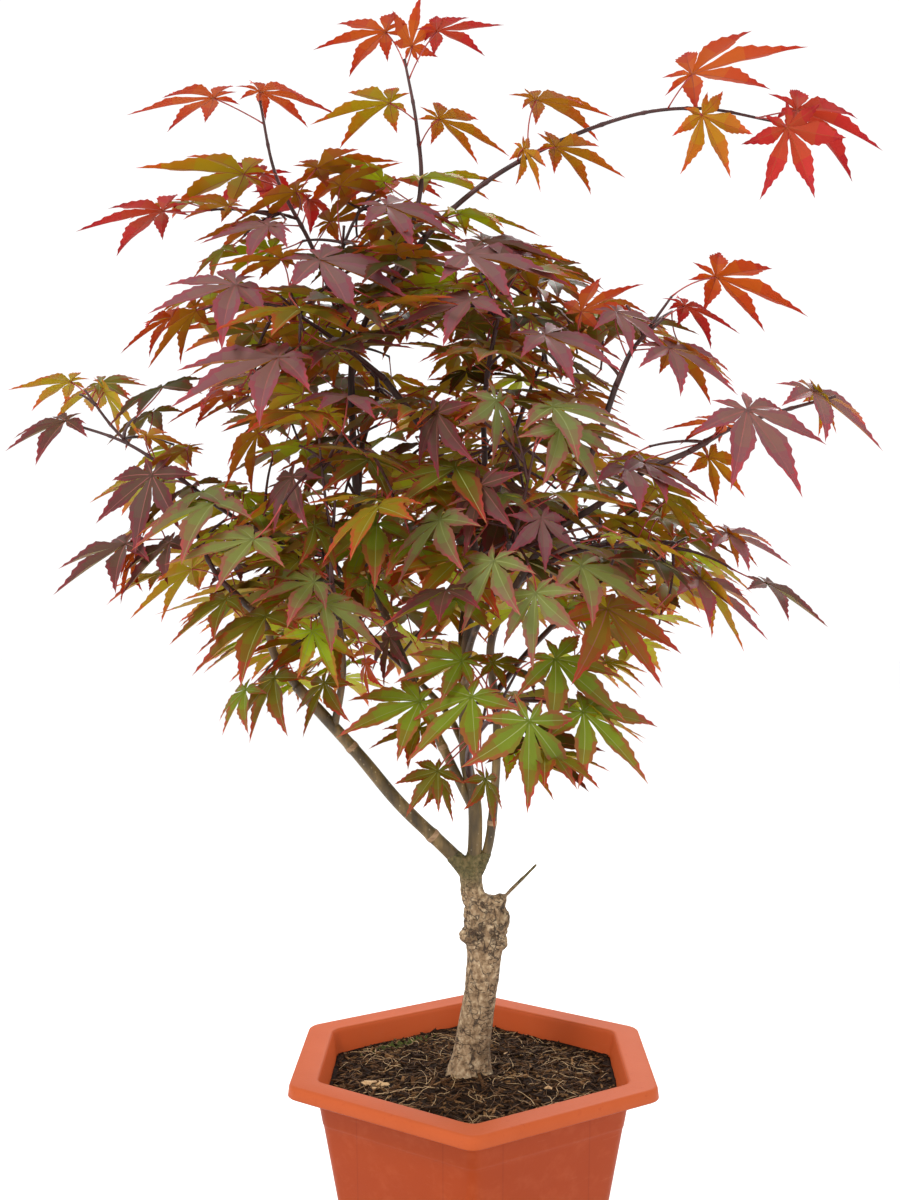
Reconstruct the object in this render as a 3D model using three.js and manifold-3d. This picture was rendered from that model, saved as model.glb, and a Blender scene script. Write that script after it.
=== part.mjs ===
// A young Japanese maple, grafted on a short trunk, in a hexagonal plastic pot filled with soil.
// Millimetres, +Z up. The origin is the centre of the pot's flat underside, and the front is -Y.

import * as THREE from "three";
import { mergeVertices } from "three/addons/utils/BufferGeometryUtils.js";
import Module from "manifold-3d";

const wasm = await Module();
wasm.setup();

// ------------------------------------------------------------------ driving dimensions

const CLEARANCE = 0.3; // kept between pieces that meet

const pot = {
  height: 250,
  sideReach: 150, // centre to the two flat sides of the rim
  apexReach: 176, // centre to the front and back corners of the rim
  cornerReach: 75, // how far along Y the four side corners lie
  baseReach: 86, // centre to the flat sides at the underside
  ledge: 21, // the rim's side back to the wall, carried up to the rim's height
  rimSkirt: 11,
  skirtFlare: 1.2,
  rimBevel: [1.5, 2], // inward and down, at the rim's top edge
  bandDepth: 38, // rim top to the small step in the walls
  bandStep: [1.2, 1], // inward and up
  wall: 2.6,
  floor: 4,
  cornerRadius: 9,
  cornerSteps: 3,
};

const soil = {
  edgeDrop: 23, // rim top to the soil beside the wall
  moundDrop: 14, // rim top to the soil round the trunk
  moundRadius: 24,
  slopes: [[0.72, 0.28], [0.42, 0.67]], // share of the wall's reach, share of the mound's rise
  wallRoom: 0.36,
};

const trunkSides = 9;
const limbSides = 5;
const limbStepLength = 44;

const stem = {
  foot: 16,
  stepLength: 20,
  bendLength: 42,
  radii: [2.7, 2],
};

const leaf = {
  lobeAngles: [-88, -43, 0, 43, 88],
  lobeLengths: [42, 58, 64, 58, 42],
  notchReach: 23,
  halfThickness: 1.2,
  tipDroop: 16, // how far a full-length lobe's tip hangs below the hub
  notchDroop: 1.5,
  stalkLength: 32,
  stalkBare: 0.4, // share of the stalk at the twig that other leaves may pass closely
  heel: [-2, 1.5, -2.2], // where the stalk's lower edges meet the blade, from the hub
  smallest: 0.82,
  sizeSpread: 0.28,
  alongStalk: 0.8, // a leaf points partly along its stalk and partly away from the crown's axis
  awayFromAxis: 0.6,
  droop: [34, 8], // degrees, at the crown's foot and at its top
  droopSpread: 30,
  rollSpread: 50,
};

const twig = {
  radii: [1.9, 1.5],
  sides: 4,
  bendLength: 80, // the longest stretch without a bend
  nodeSpacing: 36, // between two pairs of leaves
  nodeLength: 2.4, // the joint that a pair of stalks grows out of
  bareLength: 24, // from where a twig leaves the stem to its first pair
  fewestPairs: 2,
  tipSpread: 0.75, // radians between a twig and the stalks at its tip
  sideSpread: 1.05,
  turnSpread: [0.5, 0.35], // radians at the first try, and added at each try
  leanSpread: 0.15,
  rise: 0.1, // how far a twig's middle is lifted, against its length
  sampleLength: 5,
};

// How far other things stay from the limbs and stems.
const limbRoom = {
  hub: 12,
  stalk: 3,
  lobe: [7.5, 4.5], // at the hub and at the tip
  twig: 0.8,
};

// A twig's foot lies on this stretch of its stem, and a sharp turn there counts as extra length.
const footStretch = [0.3, 0.96];
const turnCost = 60;

// Twigs reach for places spread evenly over their mass's space, at these shares of its reach.
const goldenAngle = 2.399963;
const shortestReach = 0.72;
const reachSpread = 0.2;


const spaceMargin = 1; // leaves and twigs stay this far inside their mass's own space
const leafSpacing = 3.5; // middle lines of lobes, stalks and twigs of one mass keep this far apart
const bladeRoom = 1.6; // blades of one mass pass each other with at least this between them
const leafReach = 150; // leaves whose hubs are further apart than this can't meet
const footPlaces = 20; // along a stem, where a twig may leave it
const triesPerLeaf = 12; // other sizes and ways to lie, where a leaf doesn't fit at first
const crownAxis = new THREE.Vector3(-25, 0, 0);
const crownFoot = 500;
const crownTop = 1120;

// ------------------------------------------------------------------ materials

function finish(color, roughness) {
  return new THREE.MeshStandardMaterial({ color, roughness, metalness: 0 });
}

const terracottaPlastic = finish(0xc45430, 0.55);
const pottingSoil = finish(0x33231a, 0.95);
const greyBark = finish(0x9a8468, 0.85);
const oliveBark = finish(0x6f6a45, 0.7);
const leafTints = {
  crimson: finish(0xc23a2c, 0.6),
  orange: finish(0xc46a2c, 0.6),
  mauve: finish(0x7c4a58, 0.6),
  olive: finish(0x7a7a2e, 0.6),
  green: finish(0x5c8038, 0.6),
};

// ------------------------------------------------------------------ small helpers

const vector = (point) => new THREE.Vector3(...point);
const UP = new THREE.Vector3(0, 0, 1);

// Repeatable random numbers from 0 to 1.
function seeded(seed) {
  let state = seed >>> 0;
  return () => {
    state = (state + 0x6d2b79f5) >>> 0;
    let mixed = Math.imul(state ^ (state >>> 15), state | 1);
    mixed ^= mixed + Math.imul(mixed ^ (mixed >>> 7), mixed | 61);
    return ((mixed ^ (mixed >>> 14)) >>> 0) / 4294967296;
  };
}

function solidFrom(positions, triangles) {
  const mesh = new wasm.Mesh({
    numProp: 3,
    vertProperties: new Float32Array(positions),
    triVerts: new Uint32Array(triangles),
  });
  return new wasm.Manifold(mesh);
}

function solidFromGeometry(geometry) {
  const bare = geometry.clone();
  bare.deleteAttribute("normal");
  bare.deleteAttribute("uv");
  const merged = mergeVertices(bare, 1e-4);
  return solidFrom(merged.attributes.position.array, merged.index.array);
}

// Rings of the same number of points, joined by sides and closed by a flat face at both ends.
function solidFromRings(rings) {
  const positions = rings.flat().flatMap((point) => point.toArray());
  const count = rings[0].length;
  const triangles = [];
  for (let ring = 0; ring + 1 < rings.length; ring += 1) {
    for (let side = 0; side < count; side += 1) {
      const a = ring * count + side;
      const b = ring * count + ((side + 1) % count);
      triangles.push(a, b, b + count, a, b + count, a + count);
    }
  }
  const last = (rings.length - 1) * count;
  for (let side = 1; side + 1 < count; side += 1) {
    triangles.push(0, side + 1, side);
    triangles.push(last, last + side, last + side + 1);
  }
  return solidFrom(positions, triangles);
}

const fuse = (solids) => solids.reduce((whole, piece) => whole.add(piece));

// The largest closed body of a solid: loose scraps go, and sealed hollows are filled.
function mainBody(solid) {
  const { vertProperties, triVerts } = solid.getMesh();
  const owner = Array.from({ length: vertProperties.length / 3 }, (_, index) => index);
  const root = (index) => {
    let top = index;
    while (owner[top] !== top) {
      owner[top] = owner[owner[top]];
      top = owner[top];
    }
    return top;
  };
  for (let t = 0; t < triVerts.length; t += 3) {
    owner[root(triVerts[t + 1])] = root(triVerts[t]);
    owner[root(triVerts[t + 2])] = root(triVerts[t]);
  }
  const corner = (index) => new THREE.Vector3().fromArray(vertProperties, index * 3);
  const volumes = new Map();
  for (let t = 0; t < triVerts.length; t += 3) {
    const [a, b, c] = [0, 1, 2].map((k) => corner(triVerts[t + k]));
    const body = root(triVerts[t]);
    volumes.set(body, (volumes.get(body) ?? 0) + a.dot(b.cross(c)) / 6);
  }
  const [largest] = [...volumes.entries()].sort((one, two) => two[1] - one[1])[0];
  const kept = [];
  for (let t = 0; t < triVerts.length; t += 3) {
    if (root(triVerts[t]) === largest) kept.push(...triVerts.subarray(t, t + 3));
  }
  return { positions: vertProperties, triangles: kept };
}

function namedMesh(name, solid, material) {
  const { positions, triangles } = mainBody(solid);
  const geometry = new THREE.BufferGeometry();
  geometry.setAttribute("position", new THREE.BufferAttribute(new Float32Array(positions), 3));
  geometry.setIndex(triangles);
  geometry.computeVertexNormals();
  const mesh = new THREE.Mesh(geometry, material);
  mesh.name = name;
  return mesh;
}

// ------------------------------------------------------------------ pot and soil

// A six-sided ring with rounded corners, its flat sides at the given reach.
function potRing(reach, z) {
  const scale = reach / pot.sideReach;
  const corners = [
    [0, -pot.apexReach],
    [pot.sideReach, -pot.cornerReach],
    [pot.sideReach, pot.cornerReach],
    [0, pot.apexReach],
    [-pot.sideReach, pot.cornerReach],
    [-pot.sideReach, -pot.cornerReach],
  ].map(([x, y]) => new THREE.Vector2(x, y).multiplyScalar(scale));
  const ring = [];
  corners.forEach((corner, index) => {
    const before = corners[(index + 5) % 6].clone().sub(corner).normalize();
    const after = corners[(index + 1) % 6].clone().sub(corner).normalize();
    const start = corner.clone().addScaledVector(before, pot.cornerRadius * scale);
    const end = corner.clone().addScaledVector(after, pot.cornerRadius * scale);
    const arc = new THREE.QuadraticBezierCurve(start, corner, end);
    arc.getPoints(pot.cornerSteps - 1).forEach(({ x, y }) => ring.push(new THREE.Vector3(x, y, z)));
  });
  return ring;
}

const wallSlope = (pot.sideReach - pot.ledge - pot.baseReach) / pot.height;
const outerReach = (z) => pot.baseReach + wallSlope * z;
const innerReach = (z) => outerReach(z) - pot.wall;

function potSolid() {
  const top = pot.height;
  const skirtFoot = top - pot.rimSkirt;
  const step = top - pot.bandDepth;
  const [stepIn, stepUp] = pot.bandStep;
  const [bevelIn, bevelDown] = pot.rimBevel;
  const rimReach = pot.sideReach - pot.skirtFlare;
  const outside = solidFromRings([
    potRing(outerReach(0), 0),
    potRing(outerReach(step) - stepIn, step),
    potRing(outerReach(step + stepUp), step + stepUp),
    potRing(outerReach(skirtFoot), skirtFoot),
    potRing(pot.sideReach, skirtFoot),
    potRing(rimReach, top - bevelDown),
    potRing(rimReach - bevelIn, top),
  ]);
  const above = top + pot.floor;
  const inside = solidFromRings([
    potRing(innerReach(pot.floor), pot.floor),
    potRing(innerReach(above), above),
  ]);
  return outside.subtract(inside);
}

function soilSolid() {
  const bottom = pot.floor + CLEARANCE;
  const edge = pot.height - soil.edgeDrop;
  const mound = pot.height - soil.moundDrop;
  const slopes = soil.slopes.map(([across, rise]) => potRing(innerReach(edge) * across,
    THREE.MathUtils.lerp(edge, mound, rise)));
  return solidFromRings([
    potRing(innerReach(bottom) - soil.wallRoom, bottom),
    potRing(innerReach(edge) - soil.wallRoom, edge),
    ...slopes,
    potRing(soil.moundRadius, mound),
  ]);
}

// ------------------------------------------------------------------ limbs

// Each limb: its parent, radii at its two ends, the length of its foot that belongs to the
// parent's solid, and the few points that its middle line runs through.
const limbs = {
  bough_left: {
    parent: "trunk",
    radii: [6.2, 4.6],
    foot: 24,
    points: [[-4, 0, 405], [-14, 0, 418], [-62, -10, 467], [-97, -20, 511], [-147, -32, 569]],
  },
  bough_left_up: {
    parent: "bough_left",
    radii: [3.7, 2.7],
    foot: 14,
    points: [[-143, -31, 564], [-164, -36, 594], [-171, -40, 619], [-193, -44, 643]],
  },
  bough_left_inner: {
    parent: "bough_left",
    radii: [3.3, 2.5],
    foot: 15,
    points: [[-116, -25, 533], [-108, -34, 580], [-110, -48, 628]],
  },
  middle_stem: {
    parent: "trunk",
    radii: [6.4, 4.6],
    foot: 26,
    points: [[-1, 0, 402], [1.5, 0, 430], [1, 0, 468], [-6, 6, 501], [-7, 10, 533],
      [-9, 10, 588]],
  },
  leader: {
    parent: "middle_stem",
    radii: [4.2, 2.9],
    foot: 40,
    points: [[1, 0, 460], [-13, 3, 487], [-53, 20, 569], [-95, 38, 682], [-107, 40, 814],
      [-106, 40, 858]],
  },
  bough_top: {
    parent: "leader",
    radii: [2.8, 2.4],
    foot: 12,
    points: [[-106, 40, 852], [-90, 28, 888], [-68, 14, 916]],
  },
  bough_back_high: {
    parent: "leader",
    radii: [2.9, 2.3],
    foot: 12,
    points: [[-101, 40, 735], [-100, 66, 775], [-88, 98, 825]],
  },
  bough_front_low: {
    parent: "middle_stem",
    radii: [3, 2.4],
    foot: 16,
    points: [[-3, 2, 488], [-4, -24, 512], [4, -62, 534]],
  },
  bough_back_low: {
    parent: "middle_stem",
    radii: [3.2, 2.5],
    foot: 18,
    points: [[-6, 7, 510], [-24, 40, 540], [-62, 82, 575]],
  },
  bough_front: {
    parent: "middle_stem",
    radii: [3.2, 2.5],
    foot: 16,
    points: [[-9, 10, 566], [-2, -24, 604], [10, -66, 634]],
  },
  bough_back: {
    parent: "middle_stem",
    radii: [3.4, 2.6],
    foot: 18,
    points: [[-9, 10, 576], [-10, 46, 612], [-4, 92, 650]],
  },
  bough_back_up: {
    parent: "bough_back",
    radii: [2.5, 2.2],
    foot: 12,
    points: [[-5, 88, 647], [14, 118, 706], [32, 130, 770]],
  },
  centre_limb: {
    parent: "middle_stem",
    radii: [4.2, 2.7],
    foot: 16,
    points: [[-9, 10, 580], [-4, 10, 615], [1, 6, 660], [-3, 0, 705], [-30, -8, 765],
      [-74, -20, 824]],
  },
  bough_crown: {
    parent: "centre_limb",
    radii: [2.9, 2.3],
    foot: 14,
    points: [[0, 2, 690], [9, -12, 740], [8, -28, 798]],
  },
  right_stem: {
    parent: "trunk",
    radii: [4, 3],
    foot: 30,
    points: [[3, 0, 404], [12.5, 0, 428], [18, -5, 475], [20, -11, 540], [15, -18, 604],
      [40, -38, 660], [68, -56, 700]],
  },
  bough_right_low: {
    parent: "right_stem",
    radii: [2.5, 2.1],
    foot: 12,
    points: [[38, -36, 656], [72, -46, 676], [108, -54, 686]],
  },
  bough_back_right: {
    parent: "right_stem",
    radii: [2.8, 2.3],
    foot: 12,
    points: [[18, -13, 560], [44, 22, 590], [78, 66, 622]],
  },
  bough_right_long: {
    parent: "right_stem",
    radii: [2.7, 2.4],
    foot: 26,
    points: [[65, -54, 697], [98, -70, 716], [134, -80, 742], [170, -80, 758]],
  },
  bough_right_up: {
    parent: "right_stem",
    radii: [2.8, 2.4],
    foot: 26,
    points: [[66, -55, 698], [82, -60, 730], [99, -62, 768], [114, -64, 812]],
  },
};

const trunkLine = [
  { x: -5, z: pot.height - soil.moundDrop + CLEARANCE, radius: 20 },
  { x: -3.5, z: 244, radius: 17.4 },
  { x: -1, z: 256, radius: 15.6 },
  { x: 2, z: 274, radius: 14.6 },
  { x: 6, z: 300, radius: 14 },
  { x: 10, z: 338, radius: 14.6 },
  { x: 10, z: 352, radius: 17 },
  { x: 8, z: 366, radius: 16 },
  { x: 4, z: 380, radius: 12.5 },
  { x: -1, z: 392, radius: 10.2 },
  { x: -2, z: 404, radius: 9.6 },
  { x: -1, z: 412, radius: 8.4 },
];

// The swollen graft: lumps of new wood round the cut head of the rootstock.
const graftLumps = [
  { at: [12, 0, 362], size: [19, 17, 17] },
  { at: [15, -2, 377], size: [14, 12, 14] },
];

const deadTwig = {
  points: [[20, -1, 380], [31, -2, 391], [54, -3, 414.5]],
  radii: [2, 1.3],
  sides: 5,
  steps: 3,
};

const limbLine = (points) => new THREE.CatmullRomCurve3(points.map(vector), false, "centripetal");

// A ring of points round a place on a curve, square to it.
function ringRound(centre, along, radius, sides) {
  const reference = Math.abs(along.y) > 0.9 ? new THREE.Vector3(1, 0, 0) : new THREE.Vector3(0, 1, 0);
  const across = new THREE.Vector3().crossVectors(reference, along).normalize();
  const other = new THREE.Vector3().crossVectors(along, across);
  return Array.from({ length: sides }, (_, side) => {
    const angle = (2 * Math.PI * side) / sides;
    return centre.clone()
      .addScaledVector(across, radius * Math.cos(angle))
      .addScaledVector(other, radius * Math.sin(angle));
  });
}

// Where a ring sits on a curve. A piece that starts part way along it faces the foot that its
// parent holds squarely, just clear of it.
function ringSeat(curve, place, start) {
  const clear = place === start && start > 0 ? CLEARANCE : 0;
  const share = Math.min(1, (place - clear) / curve.getLength());
  const along = curve.getTangentAt(share);
  return { share, along, centre: curve.getPointAt(share).addScaledVector(along, clear) };
}

// A tapering solid along a stretch of a curve, between two lengths measured along it.
function taper(curve, from, to, radii, sides, steps) {
  const rings = [];
  for (let step = 0; step <= steps; step += 1) {
    const { share, along, centre } = ringSeat(curve, from + ((to - from) * step) / steps, from);
    const radius = THREE.MathUtils.lerp(radii[0], radii[1], share);
    rings.push(ringRound(centre, along, radius, sides));
  }
  return solidFromRings(rings);
}

for (const limb of Object.values(limbs)) {
  limb.curve = limbLine(limb.points);
  limb.length = limb.curve.getLength();
}

// The feet of every limb and stem that leaves this parent, which are part of its solid.
function feetOn(parent) {
  const limbFeet = Object.values(limbs)
    .filter((limb) => limb.parent === parent)
    .map((limb) => taper(limb.curve, 0, limb.foot, limb.radii, limbSides, 1));
  const stemFeet = Object.values(masses)
    .filter((mass) => mass.limb === parent)
    .map((mass) => taper(mass.curve, 0, stem.foot, stem.radii, twig.sides, 1));
  return [...limbFeet, ...stemFeet];
}

function limbSolid(name) {
  const { curve, length, foot, radii } = limbs[name];
  const start = foot + CLEARANCE;
  const steps = Math.max(2, Math.round((length - start) / limbStepLength));
  return fuse([taper(curve, start, length, radii, limbSides, steps), ...feetOn(name)]);
}

function lumpSolid({ at, size }) {
  const ball = new THREE.IcosahedronGeometry(1, 1);
  ball.scale(...size);
  ball.translate(...at);
  return solidFromGeometry(ball);
}

function trunkSolid() {
  const rings = trunkLine.map(({ x, z, radius }) => ringRound(new THREE.Vector3(x, 0, z), UP,
    radius, trunkSides));
  const deadLine = limbLine(deadTwig.points);
  const dead = taper(deadLine, 0, deadLine.getLength(), deadTwig.radii, deadTwig.sides,
    deadTwig.steps);
  return fuse([solidFromRings(rings), ...graftLumps.map(lumpSolid), dead, ...feetOn("trunk")]);
}

// ------------------------------------------------------------------ masses of foliage

// Each mass: the limb that carries it, the points that its stem runs through after the limb's
// tip, the middle and reach of its own space, the places that its longest twigs reach for, and
// how many more places, spread over that space, its other twigs try to reach.
const masses = {
  top_centre: {
    limb: "bough_top", tint: "crimson", seed: 11, more: 4,
    middle: [-58, -4, 1062], reach: [60, 60, 46],
    stem: [[-45, 2, 985], [-48, -2, 1040], [-58, -4, 1094]],
    tips: [[-98, -10, 1078]],
  },
  top_right_arch: {
    limb: "bough_top", tint: "orange", seed: 12, more: 2,
    middle: [150, -10, 1030], reach: [100, 60, 45],
    stem: [[-20, 2, 968], [38, -4, 1008], [132, -10, 1044], [190, -14, 1048], [248, -18, 1036]],
    tips: [[84, 40, 1058]],
  },
  top_left: {
    limb: "leader", tint: "orange", seed: 43, more: 6,
    middle: [-205, -5, 1006], reach: [78, 75, 56],
    stem: [[-140, 24, 945], [-168, 8, 1000], [-180, -4, 1060]],
    tips: [[-222, -10, 1064], [-262, -20, 968]],
  },
  crown_left: {
    limb: "leader", tint: "olive", seed: 45, more: 40,
    middle: [-84, -20, 946], reach: [96, 90, 66],
    stem: [[-114, 14, 898], [-108, -16, 952]],
    tips: [],
  },
  left_upper: {
    limb: "centre_limb", tint: "mauve", seed: 14, more: 23,
    middle: [-150, -85, 868], reach: [108, 98, 66],
    stem: [[-104, -48, 846], [-150, -84, 874]],
    tips: [[-238, -84, 888]],
  },
  left_long: {
    limb: "bough_left_inner", tint: "mauve", seed: 15, more: 5,
    middle: [-290, -20, 775], reach: [85, 75, 50],
    stem: [[-146, -38, 676], [-202, -32, 711], [-286, -28, 769], [-336, -28, 787]],
    tips: [[-306, -50, 814]],
  },
  left_low: {
    limb: "bough_left_up", tint: "olive", seed: 16, more: 20,
    middle: [-205, -45, 668], reach: [110, 95, 75],
    stem: [[-210, -50, 662], [-230, -54, 706]],
    tips: [[-312, -60, 684], [-238, -56, 620]],
  },
  front_left: {
    limb: "bough_left_inner", tint: "olive", seed: 18, more: 22,
    middle: [-105, -112, 720], reach: [90, 100, 88],
    stem: [[-112, -84, 660], [-106, -112, 724]],
    tips: [],
  },
  front_low: {
    limb: "bough_front_low", tint: "green", seed: 20, more: 11,
    middle: [24, -120, 556], reach: [92, 92, 45],
    stem: [[12, -88, 546], [24, -126, 562]],
    tips: [[-46, -118, 570], [98, -126, 562]],
  },
  front_middle: {
    limb: "bough_front", tint: "green", seed: 41, more: 30,
    middle: [35, -115, 700], reach: [92, 100, 90],
    stem: [[20, -88, 656], [34, -118, 704]],
    tips: [],
  },
  crown_front: {
    limb: "bough_crown", tint: "mauve", seed: 23, more: 34,
    middle: [18, -50, 898], reach: [96, 92, 80],
    stem: [[14, -44, 840], [26, -54, 894]],
    tips: [],
  },
  right_upper: {
    limb: "bough_right_up", tint: "orange", seed: 25, more: 24,
    middle: [148, -50, 862], reach: [90, 85, 58],
    stem: [[128, -64, 842], [152, -64, 866]],
    tips: [[230, -62, 890], [172, -60, 908]],
  },
  right_long: {
    limb: "bough_right_long", tint: "mauve", seed: 46, more: 4,
    middle: [244, -76, 786], reach: [72, 74, 42],
    stem: [[206, -82, 778], [240, -82, 789], [284, -82, 801]],
    tips: [],
  },
  right_low: {
    limb: "bough_right_low", tint: "olive", seed: 27, more: 20,
    middle: [180, -50, 702], reach: [100, 95, 72],
    stem: [[140, -56, 686], [176, -56, 680]],
    tips: [[262, -66, 684], [228, -62, 722]],
  },
  back_left_low: {
    limb: "bough_back_low", tint: "green", seed: 31, more: 22,
    middle: [-125, 125, 640], reach: [110, 105, 75],
    stem: [[-92, 110, 600], [-124, 126, 642]],
    tips: [],
  },
  back_left_high: {
    limb: "bough_back_high", tint: "olive", seed: 36, more: 22,
    middle: [-130, 115, 850], reach: [110, 95, 85],
    stem: [[-92, 107, 848], [-120, 116, 870]],
    tips: [],
  },
  back_right_low: {
    limb: "bough_back_right", tint: "green", seed: 33, more: 22,
    middle: [135, 120, 668], reach: [110, 105, 80],
    stem: [[102, 94, 636], [132, 120, 670]],
    tips: [],
  },
  back_middle: {
    limb: "bough_back", tint: "olive", seed: 35, more: 20,
    middle: [0, 185, 745], reach: [95, 85, 82],
    stem: [[0, 134, 684], [0, 180, 742]],
    tips: [],
  },
  back_right_high: {
    limb: "bough_back_up", tint: "orange", seed: 37, more: 22,
    middle: [75, 100, 880], reach: [108, 95, 78],
    stem: [[48, 124, 820], [72, 104, 878]],
    tips: [],
  },
};

for (const [name, mass] of Object.entries(masses)) {
  const tip = limbs[mass.limb].points.at(-1);
  mass.name = name;
  mass.curve = limbLine([tip, ...mass.stem]);
  mass.length = mass.curve.getLength();
  mass.foot = stem.foot;
  mass.radii = stem.radii;
  mass.centre = vector(mass.middle);
  mass.weight = (mass.reach.reduce((sum, side) => sum + side) / 3) ** 2;
}

// A place belongs to the mass whose centre is nearest, after each mass's own weight is taken
// off, so the spaces have flat walls between them.
function insideOwnSpace(mass, place, margin) {
  const own = place.distanceToSquared(mass.centre) - mass.weight;
  return Object.values(masses).every((other) => {
    if (other === mass) return true;
    const theirs = place.distanceToSquared(other.centre) - other.weight;
    return theirs - own > 2 * margin * other.centre.distanceTo(mass.centre);
  });
}

// Every limb and every stem as short straight rods, for keeping leaves and twigs off them.
const rods = [];

function addRods(owner, { curve, length, foot, radii }, stepLength) {
  const steps = Math.max(2, Math.round((length - foot) / stepLength));
  const places = [0];
  for (let step = 0; step <= steps; step += 1) places.push(foot + ((length - foot) * step) / steps);
  for (let index = 0; index + 1 < places.length; index += 1) {
    const [start, end] = [places[index], places[index + 1]]
      .map((place) => curve.getPointAt(Math.min(1, place / length)));
    const radius = THREE.MathUtils.lerp(radii[0], radii[1], places[index] / length);
    rods.push({ owner, line: new THREE.Line3(start, end), radius });
  }
}

for (const [name, limb] of Object.entries(limbs)) addRods(name, limb, limbStepLength);
for (const mass of Object.values(masses)) addRods(mass.name, mass, stem.stepLength);

const nearest = new THREE.Vector3();

function clearOfRods(mass, place, room) {
  return rods.every(({ owner, line, radius }) => {
    if (owner === mass.name) return true;
    line.closestPointToPoint(place, true, nearest);
    return nearest.distanceTo(place) > radius + room;
  });
}

// ------------------------------------------------------------------ leaves and twigs

// How a leaf lies: its place on the twig, its hub, the way its middle lobe points, its upper
// side and its left.
function leafFrame(node, stalkWay, random) {
  const size = leaf.smallest + leaf.sizeSpread * random();
  const hub = node.clone().addScaledVector(stalkWay, leaf.stalkLength * size);
  const outward = hub.clone().sub(crownAxis).setZ(0).normalize();
  const level = stalkWay.clone().setZ(0).multiplyScalar(leaf.alongStalk)
    .addScaledVector(outward, leaf.awayFromAxis);
  const height = THREE.MathUtils.clamp((hub.z - crownFoot) / (crownTop - crownFoot), 0, 1);
  const usualDroop = THREE.MathUtils.lerp(...leaf.droop, height);
  const droop = THREE.MathUtils.degToRad(usualDroop + leaf.droopSpread * (random() - 0.5));
  const roll = THREE.MathUtils.degToRad(leaf.rollSpread * (random() - 0.5));
  const forward = level.normalize().multiplyScalar(Math.cos(droop));
  forward.addScaledVector(UP, -Math.sin(droop));
  const upper = UP.clone().addScaledVector(forward, -UP.dot(forward)).normalize();
  upper.applyAxisAngle(forward, roll);
  const left = new THREE.Vector3().crossVectors(upper, forward);
  return { node, hub, forward, upper, left, size };
}

// A place on a leaf, told by how far it is forward, left and up from the hub.
function onLeaf({ hub, forward, left, upper, size }, ahead, aside, above) {
  return hub.clone()
    .addScaledVector(forward, ahead * size)
    .addScaledVector(left, aside * size)
    .addScaledVector(upper, above);
}

function roundHub(frame, degrees, reach, above) {
  const angle = THREE.MathUtils.degToRad(degrees);
  return onLeaf(frame, reach * Math.cos(angle), reach * Math.sin(angle), above);
}

function lobeTips(frame) {
  const longest = Math.max(...leaf.lobeLengths);
  return leaf.lobeAngles.map((degrees, index) => {
    const length = leaf.lobeLengths[index];
    return roundHub(frame, degrees, length, -leaf.tipDroop * frame.size * (length / longest) ** 2);
  });
}

// The edge of a blade, from one heel round its lobes to the other.
function bladeOutline(frame) {
  const [ahead, aside, above] = leaf.heel;
  const outline = [onLeaf(frame, ahead, -aside, above)];
  lobeTips(frame).forEach((tip, index) => {
    outline.push(tip);
    const next = leaf.lobeAngles[index + 1];
    const between = (leaf.lobeAngles[index] + next) / 2;
    if (next === undefined) return;
    outline.push(roundHub(frame, between, leaf.notchReach, -leaf.notchDroop));
  });
  outline.push(onLeaf(frame, ahead, aside, above));
  return outline;
}

// Adds a leaf to a twig's skin: a thin blade, thickest at its hub, and a three-sided stalk that
// grows out of the open loop that the twig leaves for it.
function growLeaf(skin, loop, frame) {
  const above = skin.points.length;
  const below = above + 1;
  const first = above + 2;
  const outline = bladeOutline(frame);
  const last = first + outline.length - 1;
  skin.points.push(frame.hub.clone().addScaledVector(frame.upper, leaf.halfThickness));
  skin.points.push(frame.hub.clone().addScaledVector(frame.upper, -leaf.halfThickness));
  skin.points.push(...outline);
  for (let here = first; here < last; here += 1) {
    skin.triangles.push(above, here, here + 1, below, here + 1, here);
  }
  skin.triangles.push(below, first, last);
  const throat = untwisted(skin, loop, [above, first, last]);
  for (let side = 0; side < 3; side += 1) {
    const next = (side + 1) % 3;
    skin.triangles.push(loop[side], loop[next], throat[next]);
    skin.triangles.push(loop[side], throat[next], throat[side]);
  }
}

// The second loop of three points, turned to face the first one with the least twist.
function untwisted(skin, loop, other) {
  const middle = (indices) => indices
    .reduce((sum, index) => sum.add(skin.points[index]), new THREE.Vector3()).divideScalar(3);
  const shift = middle(other).sub(middle(loop));
  const twist = (turned) => turned.reduce((sum, index, side) => sum
    + skin.points[loop[side]].clone().add(shift).distanceTo(skin.points[index]), 0);
  const [a, b, c] = other;
  return [[a, b, c], [b, c, a], [c, a, b]].sort((one, two) => twist(one) - twist(two))[0];
}

// The shortest way between two straight lines from a to b and from c to d.
function distanceBetween({ start: a, end: b }, { start: c, end: d }) {
  const one = b.clone().sub(a);
  const two = d.clone().sub(c);
  const gap = a.clone().sub(c);
  const [oneOne, oneTwo, twoTwo] = [one.dot(one), one.dot(two), two.dot(two)];
  const [oneGap, twoGap] = [one.dot(gap), two.dot(gap)];
  const spread = oneOne * twoTwo - oneTwo * oneTwo;
  const clamp = (value) => THREE.MathUtils.clamp(value, 0, 1);
  let onOne = spread > 1e-9 ? clamp((oneTwo * twoGap - twoTwo * oneGap) / spread) : 0;
  const onTwo = clamp((oneTwo * onOne + twoGap) / twoTwo);
  onOne = clamp((oneTwo * onTwo - oneGap) / oneOne);
  return gap.addScaledVector(one, onOne).addScaledVector(two, -onTwo).length();
}

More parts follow.
